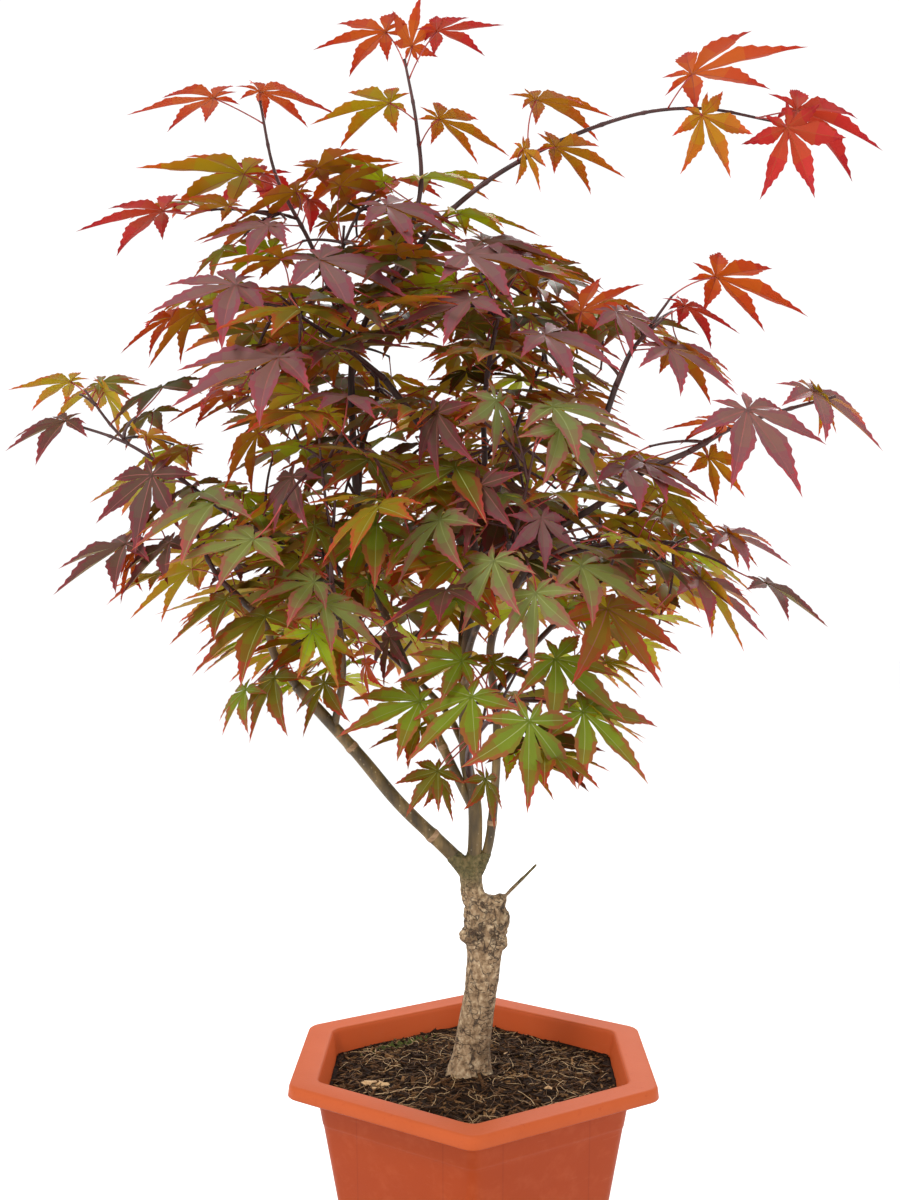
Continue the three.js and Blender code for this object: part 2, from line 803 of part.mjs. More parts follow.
// The middle lines of a leaf's lobes, and of its stalk without the end at the twig.
function leafLines(frame) {
  const lobes = lobeTips(frame).map((tip) => new THREE.Line3(frame.hub, tip));
  const stalkStart = frame.node.clone().lerp(frame.hub, leaf.stalkBare);
  return [new THREE.Line3(stalkStart, frame.hub), ...lobes];
}

// Whether a leaf keeps to its mass's space, clear of limbs, stems and its mass's other leaves.
function leafFits(mass, frame, others) {
  const tips = lobeTips(frame);
  const corners = [frame.node, frame.hub, ...tips];
  if (!corners.every((place) => insideOwnSpace(mass, place, spaceMargin))) return false;
  const lines = leafLines(frame);
  const near = others.lines.filter((other) => other.start.distanceTo(frame.hub) < leafReach);
  if (near.some((other) => lines.some((line) => distanceBetween(line, other) < leafSpacing))) {
    return false;
  }
  if (!clearOfRods(mass, frame.hub, limbRoom.hub)) return false;
  const between = (from, to, share) => from.clone().lerp(to, share);
  const onStalk = [0, 0.25, 0.5, 0.75].map((share) => between(frame.node, frame.hub, share));
  if (!onStalk.every((place) => clearOfRods(mass, place, limbRoom.stalk))) return false;
  const onLobes = tips.every((tip) => [0.25, 0.5, 0.75, 1]
    .every((share) => clearOfRods(mass, between(frame.hub, tip, share),
      THREE.MathUtils.lerp(...limbRoom.lobe, share))));
  if (!onLobes) return false;
  return others.frames.every((other) => other.hub.distanceTo(frame.hub) > leafReach
    || (!cuts(frame, other) && !cuts(other, frame)));
}

// Whether one blade's edges or middle lines pass through the other blade, or graze it.
function cuts(frame, other) {
  const edge = bladeOutline(frame);
  const lines = lobeTips(frame).map((tip) => [frame.hub, tip]);
  for (let index = 0; index + 1 < edge.length; index += 1) lines.push([edge[index], edge[index + 1]]);
  const outline = bladeOutline(other);
  const ray = new THREE.Ray();
  const hit = new THREE.Vector3();
  return lines.some(([from, to]) => [-bladeRoom, 0, bladeRoom].some((lift) => {
    ray.origin.copy(from).addScaledVector(other.upper, lift);
    ray.direction.copy(to).sub(from);
    const reach = ray.direction.length();
    ray.direction.normalize();
    return outline.some((corner, index) => {
      const next = outline[(index + 1) % outline.length];
      const place = ray.intersectTriangle(other.hub, corner, next, false, hit);
      return place !== null && place.distanceTo(ray.origin) < reach;
    });
  }));
}

// The two directions square to a curve at a place on it, one of them level.
function sidesOf(curve, share) {
  const along = curve.getTangentAt(share);
  const level = curve.getPoint(1).sub(curve.getPoint(0)).cross(UP).normalize();
  const across = level.addScaledVector(along, -level.dot(along)).normalize();
  return { along, across, over: new THREE.Vector3().crossVectors(along, across) };
}

// The joints of a twig, from its tip back to its bare foot, with the leaves that fit there. The
// leaves stand in pairs, each pair square to the last. A joint's sides count round the twig.
function jointsAlong(mass, curve, bare, random, others) {
  const length = curve.getLength();
  const joints = [];
  let order = 0;
  for (let at = length - twig.nodeLength; at > bare; at -= twig.nodeSpacing) {
    const node = curve.getPointAt((at + twig.nodeLength / 2) / length);
    const { along, across, over } = sidesOf(curve, at / length);
    const spread = order === 0 ? twig.tipSpread : twig.sideSpread;
    const leaves = [];
    for (const side of [order % 2, (order % 2) + 2]) {
      const outward = [across, over, across.clone().negate(), over.clone().negate()][side];
      for (let attempt = 0; attempt < triesPerLeaf; attempt += 1) {
        const turn = (twig.turnSpread[0] + twig.turnSpread[1] * attempt) * (random() - 0.5);
        const lean = spread + twig.leanSpread * attempt * (random() - 0.5);
        const stalkWay = along.clone().multiplyScalar(Math.cos(lean))
          .addScaledVector(outward.clone().applyAxisAngle(along, turn), Math.sin(lean));
        const frame = leafFrame(node, stalkWay, random);
        if (!leafFits(mass, frame, others)) continue;
        others.lines.push(...leafLines(frame));
        others.frames.push(frame);
        leaves.push({ side, frame });
        break;
      }
    }
    if (leaves.length > 0) joints.unshift({ at, leaves });
    order += 1;
  }
  return joints;
}

// Where a twig for this target best leaves the stem: near, not turning back on itself, and at a
// place that no other twig has taken.
function twigFoot(mass, target, taken) {
  let best = null;
  for (let step = 0; step < footPlaces; step += 1) {
    const share = THREE.MathUtils.lerp(...footStretch, step / (footPlaces - 1));
    const place = mass.curve.getPointAt(share);
    if (taken.has(step) || !insideOwnSpace(mass, place, spaceMargin)) continue;
    const way = target.clone().sub(place);
    const turn = way.clone().normalize().dot(mass.curve.getTangentAt(share));
    const cost = way.length() + turnCost * (1 - turn);
    if (best === null || cost < best.cost) best = { cost, place, step };
  }
  return best;
}

function twigTargets(mass, random) {
  const phase = 2 * Math.PI * random();
  const targets = mass.tips.map(vector);
  for (let index = 0; index < mass.more; index += 1) {
    const rise = 1 - (2 * (index + 0.5)) / mass.more;
    const level = Math.sqrt(1 - rise * rise);
    const turn = phase + index * goldenAngle;
    const stretch = shortestReach + reachSpread * random();
    targets.push(new THREE.Vector3(
      mass.middle[0] + mass.reach[0] * stretch * level * Math.cos(turn),
      mass.middle[1] + mass.reach[1] * stretch * level * Math.sin(turn),
      mass.middle[2] + mass.reach[2] * stretch * rise,
    ));
  }
  return targets;
}

function twigCurve(foot, target) {
  const middle = foot.clone().lerp(target, 0.5);
  middle.addScaledVector(UP, twig.rise * foot.distanceTo(target));
  return new THREE.QuadraticBezierCurve3(foot, middle, target);
}

// A mass's stem and twigs with their leaves, as its seeded rule finds them.
function growMass(mass) {
  const random = seeded(mass.seed);
  const others = { lines: [], frames: [] };
  const stemJoints = jointsAlong(mass, mass.curve, stem.foot + twig.bareLength, random, others);
  const shoots = [{ curve: mass.curve, from: stem.foot + CLEARANCE, radii: stem.radii,
    joints: stemJoints, bendLength: stem.bendLength }];
  const taken = new Set();
  for (const target of twigTargets(mass, random)) {
    const foot = twigFoot(mass, target, taken);
    if (foot === null) continue;
    const curve = twigCurve(foot.place, target);
    const places = curve.getSpacedPoints(Math.ceil(curve.getLength() / twig.sampleLength));
    const room = twig.radii[0] + limbRoom.twig;
    const free = places.every((place) => insideOwnSpace(mass, place, spaceMargin + 1)
      && clearOfRods(mass, place, room));
    const lines = places.slice(2).map((place, index) => new THREE.Line3(places[index + 1], place));
    const crossed = lines.some((line) => others.lines
      .some((other) => distanceBetween(line, other) < leafSpacing));
    if (!free || crossed) continue;
    const before = others.lines.length;
    const framesBefore = others.frames.length;
    others.lines.push(...lines.slice(0, -1));
    const joints = jointsAlong(mass, curve, twig.bareLength, random, others);
    if (joints.length < twig.fewestPairs) {
      others.lines.length = before;
      others.frames.length = framesBefore;
      continue;
    }
    taken.add(foot.step);
    shoots.push({ curve, from: 0, radii: twig.radii, joints, bendLength: twig.bendLength });
  }
  return shoots;
}

// Where a shoot's rings lie along it: its ends, both ends of each joint, and bends in long gaps.
function ringPlaces({ curve, from, joints, bendLength }) {
  const fixed = [from, ...joints.flatMap(({ at }) => [at, at + twig.nodeLength])];
  const end = curve.getLength();
  if (end - fixed.at(-1) > twig.nodeLength) fixed.push(end);
  const places = [fixed[0]];
  for (const place of fixed.slice(1)) {
    const before = places.at(-1);
    const bends = Math.ceil((place - before) / bendLength);
    for (let bend = 1; bend <= bends; bend += 1) {
      places.push(before + ((place - before) * bend) / bends);
    }
  }
  return places;
}

// A four-sided shoot and its leaves as one closed skin.
function shootSolid(shoot) {
  const { curve, radii, joints } = shoot;
  const places = ringPlaces(shoot);
  const skin = { points: [], triangles: [] };
  for (const place of places) {
    const { share, centre } = ringSeat(curve, place, places[0]);
    const { across, over } = sidesOf(curve, share);
    const radius = THREE.MathUtils.lerp(radii[0], radii[1], share);
    for (let corner = 0; corner < twig.sides; corner += 1) {
      const angle = ((corner - 0.5) * 2 * Math.PI) / twig.sides;
      skin.points.push(centre.clone()
        .addScaledVector(across, radius * Math.cos(angle))
        .addScaledVector(over, radius * Math.sin(angle)));
    }
  }
  const last = (places.length - 1) * twig.sides;
  skin.triangles.push(0, 2, 1, 0, 3, 2, last, last + 1, last + 2, last, last + 2, last + 3);
  places.slice(0, -1).forEach((place, ring) => {
    const joint = joints.find(({ at }) => Math.abs(at - place) < 1e-6);
    for (let side = 0; side < twig.sides; side += 1) {
      const a = ring * twig.sides + side;
      const b = ring * twig.sides + ((side + 1) % twig.sides);
      const grown = joint?.leaves.find((grows) => grows.side === side);
      skin.triangles.push(a, b + twig.sides, a + twig.sides);
      if (grown) growLeaf(skin, [a, b, b + twig.sides], grown.frame);
      else skin.triangles.push(a, b, b + twig.sides);
    }
  });
  return solidFrom(skin.points.flatMap((point) => point.toArray()), skin.triangles);
}

const massSolid = (mass) => fuse(growMass(mass).map(shootSolid));

// ------------------------------------------------------------------ the whole plant

const plant = new THREE.Group();
plant.add(namedMesh("pot", potSolid(), terracottaPlastic));
plant.add(namedMesh("soil", soilSolid(), pottingSoil));
plant.add(namedMesh("trunk", trunkSolid(), greyBark));
for (const name of Object.keys(limbs)) plant.add(namedMesh(name, limbSolid(name), oliveBark));
for (const mass of Object.values(masses)) {
  plant.add(namedMesh(`foliage_${mass.name}`, massSolid(mass), leafTints[mass.tint]));
}

export default plant;
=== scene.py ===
"""A young Japanese maple, grafted on a short trunk, in a hexagonal plastic pot of compost.

Growth is worked out in millimetres and each mesh is made in metres. The leaves that show best from
the front are placed one by one, and all the others grow by the solids' rule.
"""
import math
import random
from collections import namedtuple

import bpy
import numpy as np
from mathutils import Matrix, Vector, noise


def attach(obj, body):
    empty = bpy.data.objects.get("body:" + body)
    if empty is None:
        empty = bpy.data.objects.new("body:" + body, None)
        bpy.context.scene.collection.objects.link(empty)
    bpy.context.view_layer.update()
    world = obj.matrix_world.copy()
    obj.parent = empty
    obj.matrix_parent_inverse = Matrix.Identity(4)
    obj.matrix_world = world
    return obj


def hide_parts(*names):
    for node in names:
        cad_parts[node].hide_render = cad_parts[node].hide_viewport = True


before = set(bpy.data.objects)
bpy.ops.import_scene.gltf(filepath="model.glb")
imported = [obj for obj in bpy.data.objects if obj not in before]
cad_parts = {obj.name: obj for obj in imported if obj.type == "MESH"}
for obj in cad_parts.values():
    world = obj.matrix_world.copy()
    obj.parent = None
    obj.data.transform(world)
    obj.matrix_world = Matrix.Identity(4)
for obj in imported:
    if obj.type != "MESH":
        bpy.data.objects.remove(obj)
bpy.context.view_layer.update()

MM = 0.001
UP = np.array([0.0, 0.0, 1.0])

# ------------------------------------------------------------------ the camera and its view

lens_point = np.array([1.44, -1177.3, 665.9])
view_yaw = -0.01804
view_pitch = -0.02262
frame_width = 900
frame_height = 1200
focal_pixels = 1385.3

view_ahead = np.array([math.sin(view_yaw) * math.cos(view_pitch),
                       math.cos(view_yaw) * math.cos(view_pitch), math.sin(view_pitch)])
view_right = np.array([math.cos(view_yaw), -math.sin(view_yaw), 0.0])
view_up = np.cross(view_right, view_ahead)


def seen_at(column, row, depth):
    """The place behind a point of the view, where it crosses the upright plane y = depth."""
    way = (view_ahead + view_right * (column - frame_width / 2) / focal_pixels
           + view_up * (frame_height / 2 - row) / focal_pixels)
    return lens_point + way * (depth - lens_point[1]) / way[1]


# ------------------------------------------------------------------ dimensions of the plant

pot_height = 250.0
pot_side_reach = 150.0
pot_apex_reach = 176.0
pot_corner_reach = 75.0
pot_base_reach = 86.0
pot_ledge = 21.0
pot_wall = 2.6
pot_floor = 4.0
rim_skirt = 11.0
rim_flare = 1.2
band_depth = 38.0
soil_edge = 227.0
soil_mound = 235.6

crown_foot = 500.0
crown_top = 1120.0
crown_axis = np.array([-25.0, 0.0, 0.0])

leaf_lobe = 64.0
leaf_stalk = 32.0
longest_stalk = 58.0
twig_spacing = 36.0
twig_bare = 22.0
twig_radii = (1.5, 0.95)
stem_radii = (2.6, 1.1)
stalk_radius = 0.62
golden_angle = 2.399963

# The least distances between things that grow, and the shortest twig that is worth growing.
leaf_room = 28.5
limb_to_leaf = 12
limb_to_twig = 3.5
shortest_twig = 26
# How far a leaf's tip may pass its mass's reach, and how many times a leaf is tried in its place.
leaf_overhang = 42
attempts_per_leaf = 6

Limb = namedtuple("Limb", "radii points")
Mass = namedtuple("Mass", "limb slot middle reach stem twigs")

# Each limb: the radii at its two ends, and the few points that its middle line runs through.
limbs = {
    "bough_left": Limb((6.2, 4.6), [(-4, 0, 405), (-14, 0, 418), (-62, -10, 467), (-97, -20, 511),
                                    (-147, -32, 569)]),
    "bough_left_up": Limb((3.7, 2.7), [(-143, -31, 564), (-164, -36, 594), (-171, -40, 619),
                                       (-193, -44, 643)]),
    "bough_left_inner": Limb((3.3, 2.5), [(-116, -25, 533), (-108, -34, 580), (-110, -48, 628)]),
    "middle_stem": Limb((6.4, 4.6), [(-1, 0, 402), (1.5, 0, 430), (1, 0, 468), (-6, 6, 501),
                                     (-7, 10, 533), (-9, 10, 588)]),
    "leader": Limb((4.2, 2.9), [(1, 0, 460), (-13, 3, 487), (-53, 20, 569), (-95, 38, 682),
                                (-107, 40, 814), (-106, 40, 858)]),
    "bough_top": Limb((2.8, 2.4), [(-106, 40, 852), (-90, 28, 888), (-68, 14, 916)]),
    "bough_back_high": Limb((2.9, 2.3), [(-101, 40, 735), (-100, 66, 775), (-88, 98, 825)]),
    "bough_front_low": Limb((3, 2.4), [(-3, 2, 488), (-4, -24, 512), (4, -62, 534)]),
    "bough_back_low": Limb((3.2, 2.5), [(-6, 7, 510), (-24, 40, 540), (-62, 82, 575)]),
    "bough_front": Limb((3.2, 2.5), [(-9, 10, 566), (-2, -24, 604), (10, -66, 634)]),
    "bough_back": Limb((3.4, 2.6), [(-9, 10, 576), (-10, 46, 612), (-4, 92, 650)]),
    "bough_back_up": Limb((2.5, 2.2), [(-5, 88, 647), (14, 118, 706), (32, 130, 770)]),
    "centre_limb": Limb((4.2, 2.7), [(-9, 10, 580), (-4, 10, 615), (1, 6, 660), (-3, 0, 705),
                                     (-30, -8, 765), (-74, -20, 824)]),
    "bough_crown": Limb((2.9, 2.3), [(0, 2, 690), (9, -12, 740), (8, -28, 798)]),
    "right_stem": Limb((4, 3), [(3, 0, 404), (12.5, 0, 428), (18, -5, 475), (20, -11, 540),
                                (15, -18, 604), (40, -38, 660), (68, -56, 700)]),
    "bough_right_low": Limb((2.5, 2.1), [(38, -36, 656), (72, -46, 676), (108, -54, 686)]),
    "bough_back_right": Limb((2.8, 2.3), [(18, -13, 560), (44, 22, 590), (78, 66, 622)]),
    "bough_right_long": Limb((2.7, 2.4), [(65, -54, 697), (98, -70, 716), (134, -80, 742),
                                          (170, -80, 758)]),
    "bough_right_up": Limb((2.8, 2.4), [(66, -55, 698), (82, -60, 730), (99, -62, 768),
                                        (114, -64, 812)]),
}
forking_limbs = ("bough_left", "middle_stem", "right_stem")

# Each mass: the limb that carries it, the record's slot for its leaves, the middle and reach of
# its own space, the points that its stem runs through, and how many places its twigs reach for.
masses = {
    "top_centre": Mass("bough_top", "leaf_crimson", (-58, -4, 1062), (60, 60, 46),
                       [(-45, 2, 985), (-48, -2, 1040), (-58, -4, 1094)], 3),
    "top_right_arch": Mass("bough_top", "leaf_orange", (150, -10, 1030), (100, 60, 45),
                           [(-20, 2, 968), (38, -4, 1008), (132, -10, 1044), (190, -14, 1048),
                            (248, -18, 1036)], 2),
    "top_left": Mass("leader", "leaf_orange", (-205, -5, 1006), (78, 75, 56),
                     [(-140, 24, 945), (-168, 8, 1000), (-180, -4, 1060)], 3),
    "crown_left": Mass("leader", "leaf_olive", (-84, -20, 946), (96, 90, 66),
                       [(-114, 14, 898), (-108, -16, 952)], 22),
    "left_upper": Mass("centre_limb", "leaf_mauve", (-150, -85, 868), (108, 98, 66),
                       [(-104, -48, 846), (-150, -84, 874)], 22),
    "left_long": Mass("bough_left_inner", "leaf_mauve", (-290, -20, 775), (85, 75, 50),
                      [(-146, -38, 676), (-202, -32, 711), (-286, -28, 769), (-336, -28, 787)], 5),
    "left_low": Mass("bough_left_up", "leaf_olive", (-205, -45, 668), (110, 95, 75),
                     [(-210, -50, 662), (-230, -54, 706)], 18),
    "front_left": Mass("bough_left_inner", "leaf_olive", (-105, -112, 720), (90, 100, 88),
                       [(-112, -84, 660), (-106, -112, 724)], 24),
    "front_low": Mass("bough_front_low", "leaf_green", (24, -120, 556), (92, 92, 45),
                      [(12, -88, 546), (24, -126, 562)], 12),
    "front_middle": Mass("bough_front", "leaf_green", (35, -115, 700), (92, 100, 90),
                         [(20, -88, 656), (34, -118, 704)], 26),
    "crown_front": Mass("bough_crown", "leaf_mauve", (18, -50, 898), (96, 92, 80),
                        [(14, -44, 840), (26, -54, 894)], 26),
    "right_upper": Mass("bough_right_up", "leaf_orange", (148, -50, 862), (90, 85, 58),
                        [(128, -64, 842), (152, -64, 866)], 14),
    "right_long": Mass("bough_right_long", "leaf_mauve", (244, -76, 786), (72, 74, 42),
                       [(206, -82, 778), (240, -82, 789), (284, -82, 801)], 3),
    "right_low": Mass("bough_right_low", "leaf_olive", (180, -50, 702), (100, 95, 72),
                      [(140, -56, 686), (176, -56, 680)], 18),
    "back_left_low": Mass("bough_back_low", "leaf_green", (-125, 125, 640), (110, 105, 75),
                          [(-92, 110, 600), (-124, 126, 642)], 24),
    "back_left_high": Mass("bough_back_high", "leaf_olive", (-130, 115, 850), (110, 95, 85),
                           [(-92, 107, 848), (-120, 116, 870)], 26),
    "back_right_low": Mass("bough_back_right", "leaf_green", (135, 120, 668), (110, 105, 80),
                           [(102, 94, 636), (132, 120, 670)], 24),
    "back_middle": Mass("bough_back", "leaf_olive", (0, 185, 745), (95, 85, 82),
                        [(0, 134, 684), (0, 180, 742)], 22),
    "back_right_high": Mass("bough_back_up", "leaf_orange", (75, 100, 880), (108, 95, 78),
                            [(48, 124, 820), (72, 104, 878)], 26),
}

# The leaves that show best from the front. Each: the column and row of its hub in the view, its
# depth in mm, the way that its middle lobe points in the view and how far towards the viewer, in
# degrees, how much of its upper side (or, below 0, its underside) faces the front, its size, and
# its tint.
showing_leaves = [
    (412, 46, 0, 80, 0, -0.75, 0.72, "flame"),
    (386, 32, -6, 190, 5, -0.45, 1.06, "flame"),
    (437, 31, -6, 4, 5, -0.4, 0.92, "crimson"),
    (390, 103, -20, 190, 10, -0.42, 1.12, "gold"),
    (439, 119, -25, -20, 12, -0.42, 1.0, "bronze"),
    (536, 100, -20, -7, 10, -0.32, 1.12, "bronze"),
    (523, 149, -20, -66, 5, -0.5, 0.62, "bronze"),
    (555, 147, -30, -22, 8, -0.38, 1.05, "bronze"),
    (692, 74, -40, 16, 5, -0.42, 1.4, "flame"),
    (702, 115, -30, -66, 5, -0.75, 0.92, "bronze"),
    (797, 110, -40, -22, 8, -0.46, 1.3, "crimson"),
    (787, 127, -45, -68, 12, -0.88, 1.05, "crimson"),
    (260, 92, -5, -8, 10, -0.35, 1.02, "flame"),
    (214, 98, -10, 189, 8, -0.3, 1.18, "flame"),
    (244, 174, -20, 178, 8, -0.42, 1.36, "gold"),
    (317, 168, -10, 8, 8, -0.32, 1.14, "bronze"),
    (229, 206, -30, 172, 8, -0.3, 0.8, "bronze"),
    (163, 211, -30, 192, 8, -0.35, 1.22, "crimson"),
    (269, 226, -60, 192, 12, 0.3, 0.95, "mauve"),
    (225, 249, -40, 218, 10, 0.25, 0.65, "olive"),
    (236, 285, -110, 197, 18, 0.5, 1.18, "mauve"),
    (320, 260, -120, -19, 20, 0.4, 1.4, "mauve"),
    (278, 358, -150, 204, 20, 0.45, 1.45, "mauve"),
    (387, 206, -60, -20, 20, 0.35, 1.15, "mauve"),
    (459, 214, -30, -8, 10, -0.2, 1.05, "lime"),
    (423, 178, 0, 3, 6, -0.15, 1.15, "lime"),
    (330, 222, 10, 32, 6, -0.4, 0.95, "bronze"),
    (71, 382, -20, 188, 8, -0.4, 0.8, "gold"),
    (101, 383, -24, 2, 8, 0.35, 0.66, "olive"),
    (66, 421, -30, 202, 12, 0.35, 0.95, "wine"),
    (104, 392, -30, -50, 12, -0.3, 0.8, "olive"),
    (146, 436, -40, -12, 12, -0.35, 0.62, "bronze"),
    (152, 475, -60, 250, 18, 0.75, 1.08, "wine"),
    (214, 503, -110, 204, 20, 0.32, 1.3, "sage"),
    (126, 544, -60, 214, 16, 0.38, 1.15, "wine"),
    (170, 543, -70, 226, 14, 0.35, 0.95, "wine"),
    (134, 552, -40, 252, 10, -0.3, 0.75, "flame"),
    (192, 569, -80, 216, 14, -0.35, 1.0, "gold"),
    (258, 433, -80, 236, 12, -0.4, 0.95, "bronze"),
    (172, 317, -60, 210, 8, -0.3, 0.85, "flame"),
    (196, 310, -80, 228, 8, -0.35, 0.95, "bronze"),
    (293, 477, -130, 245, 14, 0.55, 0.8, "wine"),
    (314, 526, -120, -58, 14, 0.6, 0.75, "olive"),
    (228, 395, -60, 200, 8, -0.2, 0.9, "flame"),
    (226, 600, -90, 217, 14, 0.35, 0.9, "olive"),
    (716, 277, -60, -18, 10, -0.5, 1.2, "flame"),
    (684, 306, -65, -24, 10, -0.3, 0.85, "crimson"),
    (669, 348, -90, -28, 16, 0.35, 1.12, "mauve"),
    (669, 350, -60, -24, 8, -0.4, 1.0, "bronze"),
    (616, 312, -80, -30, 14, 0.35, 0.85, "mauve"),
    (581, 312, -60, 32, 6, -0.5, 0.9, "flame"),
    (747, 410, -130, -48, 25, 0.68, 1.2, "mauve"),
    (812, 391, -80, -35, 12, 0.25, 1.22, "mauve"),
    (708, 457, -70, -46, 8, -0.6, 0.75, "bronze"),
    (626, 467, -110, -20, 18, 0.3, 1.1, "mauve"),
    (727, 533, -70, -21, 8, 0.3, 0.95, "mauve"),
    (766, 583, -70, -33, 10, 0.22, 0.95, "wine"),
    (698, 578, -80, -37, 12, 0.32, 1.2, "mauve"),
    (581, 566, -140, -32, 18, 0.5, 1.1, "sage"),
    (314, 582, -130, 190, 18, 0.5, 0.9, "sage"),
    (324, 604, -140, -36, 20, 0.6, 0.95, "sage"),
    (312, 631, -140, -62, 14, 0.75, 0.78, "lime"),
    (266, 617, -110, 212, 16, 0.4, 1.25, "olive"),
    (275, 678, -80, 242, 14, 0.5, 0.95, "olive"),
    (325, 683, -70, 246, 12, 0.55, 0.78, "olive"),
    (390, 637, -50, 262, 10, 0.45, 0.68, "wine"),
    (366, 663, -50, 270, 8, 0.3, 0.55, "flame"),
    (420, 702, -110, 201, 14, 0.72, 1.02, "green"),
    (472, 697, -150, 228, 16, 0.65, 1.12, "green"),
    (438, 771, -90, 227, 12, 0.75, 0.68, "olive"),
    (368, 581, -60, -50, 12, 0.5, 0.78, "green"),
    (494, 561, -170, 246, 18, 0.7, 0.95, "sage"),
    (536, 593, -180, -92, 16, 0.8, 0.9, "sage"),
    (607, 609, -125, -55, 16, 0.7, 1.2, "bronze"),
    (555, 659, -130, -44, 14, 0.8, 1.08, "green"),
    (492, 663, -90, -22, 10, 0.6, 0.6, "olive"),
    (462, 661, -120, 196, 14, 0.7, 0.8, "green"),
    (529, 721, -180, -88, 14, 0.85, 1.12, "green"),
    (583, 712, -140, -40, 12, 0.68, 1.2, "green"),
    (485, 779, -110, -80, 10, 0.6, 0.6, "olive"),
    (560, 428, -170, -52, 18, 0.65, 0.95, "sage"),
    (553, 407, -150, -16, 14, 0.3, 1.2, "sage"),
    (496, 400, -160, -90, 16, 0.6, 0.8, "sage"),
    (467, 254, -95, -14, 12, 0.35, 1.4, "mauve"),
    (482, 241, -60, -12, 10, 0.25, 1.1, "wine"),
    (545, 335, -120, -22, 18, 0.35, 1.15, "mauve"),
    (470, 300, -120, 200, 18, 0.35, 1.1, "mauve"),
    (481, 485, -160, -100, 16, 0.65, 0.9, "wine"),
    (541, 518, -150, -80, 12, 0.85, 0.68, "mauve"),
    (438, 413, -150, -95, 14, 0.6, 0.88, "wine"),
    (440, 520, -150, 235, 18, 0.5, 1.0, "sage"),
    (816, 393, -70, -58, 8, -0.4, 0.62, "olive"),
    (727, 535, -64, -44, 6, -0.4, 0.6, "bronze"),
    (700, 581, -70, -52, 8, -0.35, 1.0, "gold"),
    (724, 424, -100, 176, 8, -0.3, 0.7, "flame"),
    (340, 186, -20, 24, 8, -0.4, 0.95, "bronze"),
    (296, 192, -24, 204, 8, -0.35, 0.95, "bronze"),
    (384, 182, -10, 150, 8, -0.35, 0.8, "lime"),
    (642, 462, -90, -24, 10, 0.2, 1.15, "mauve"),
    (655, 488, -80, -30, 8, -0.35, 1.0, "gold"),
    (668, 500, -70, -38, 8, -0.3, 0.85, "olive"),
    (436, 775, -70, -70, 10, 0.5, 0.62, "olive"),
    (420, 728, -60, 200, 10, 0.5, 0.75, "olive"),
    (246, 690, -70, 236, 10, 0.45, 0.7, "green"),
]

# Twigs that show between those leaves. Each: its mass, its depth, and the columns and rows that it
# runs through from the carrier.
showing_twigs = [
    ("left_long", -28, [(127, 445), (110, 424), (95, 404), (85, 390)]),
]

# The crown's outline in the view, inside which the leaves that grow by the rule hang, and the open
# places among them, each a column, a row and a radius.
crown_outline = [
    (300, 176), (345, 146), (420, 148), (485, 164), (540, 194), (578, 242), (605, 290), (655, 308),
    (718, 335), (738, 366), (708, 392), (700, 440), (722, 470), (708, 512), (742, 545), (748, 590),
    (716, 616), (684, 628), (662, 650), (645, 692), (655, 738), (612, 770), (545, 802), (500, 828),
    (440, 804), (380, 788), (360, 746), (300, 716), (240, 722), (190, 692), (195, 632), (150, 604),
    (60, 582), (100, 530), (80, 500), (120, 456), (10, 458), (20, 378), (110, 372), (172, 378),
    (184, 346), (118, 346), (150, 296), (190, 262), (150, 215), (75, 230), (90, 205), (160, 150),
    (300, 140)]
sky_places = [(645, 405, 20), (640, 362, 24), (650, 520, 14), (430, 560, 10), (258, 330, 12),
              (205, 420, 14), (120, 520, 12), (350, 700, 10), (402, 365, 21), (395, 730, 12),
              (610, 690, 14), (600, 300, 12), (545, 255, 12), (404, 625, 13), (378, 432, 12),
              (512, 380, 12), (690, 500, 12), (700, 545, 10)]
# Places where a limb shows between the leaves: no leaf that grows by the rule hangs before it there.
limb_windows = [(353, 400, 13), (357, 440, 13), (360, 480, 13), (366, 525, 13), (384, 600, 12),
                (470, 610, 12), (475, 645, 12), (592, 440, 11), (572, 482, 11), (300, 330, 10),
                (425, 385, 11)]
# Masses that hold only leaves that are placed one by one.
bare_masses = ("top_centre", "top_right_arch")

# ------------------------------------------------------------------ lines


class Line:
    """A smooth line through many close places, measured along its length."""

    def __init__(self, places):
        self.places = np.array(places, float)
        steps = np.linalg.norm(np.diff(self.places, axis=0), axis=1)
        self.measure = np.concatenate([[0.0], np.cumsum(steps)])
        self.length = float(self.measure[-1])

    def at(self, distance):
        return np.array([np.interp(distance, self.measure, side) for side in self.places.T])

    def along(self, distance):
        ahead = self.at(min(self.length, distance + 1.5)) - self.at(max(0.0, distance - 1.5))
        return unit(ahead)


def unit(way):
    return way / max(1e-9, float(np.linalg.norm(way)))


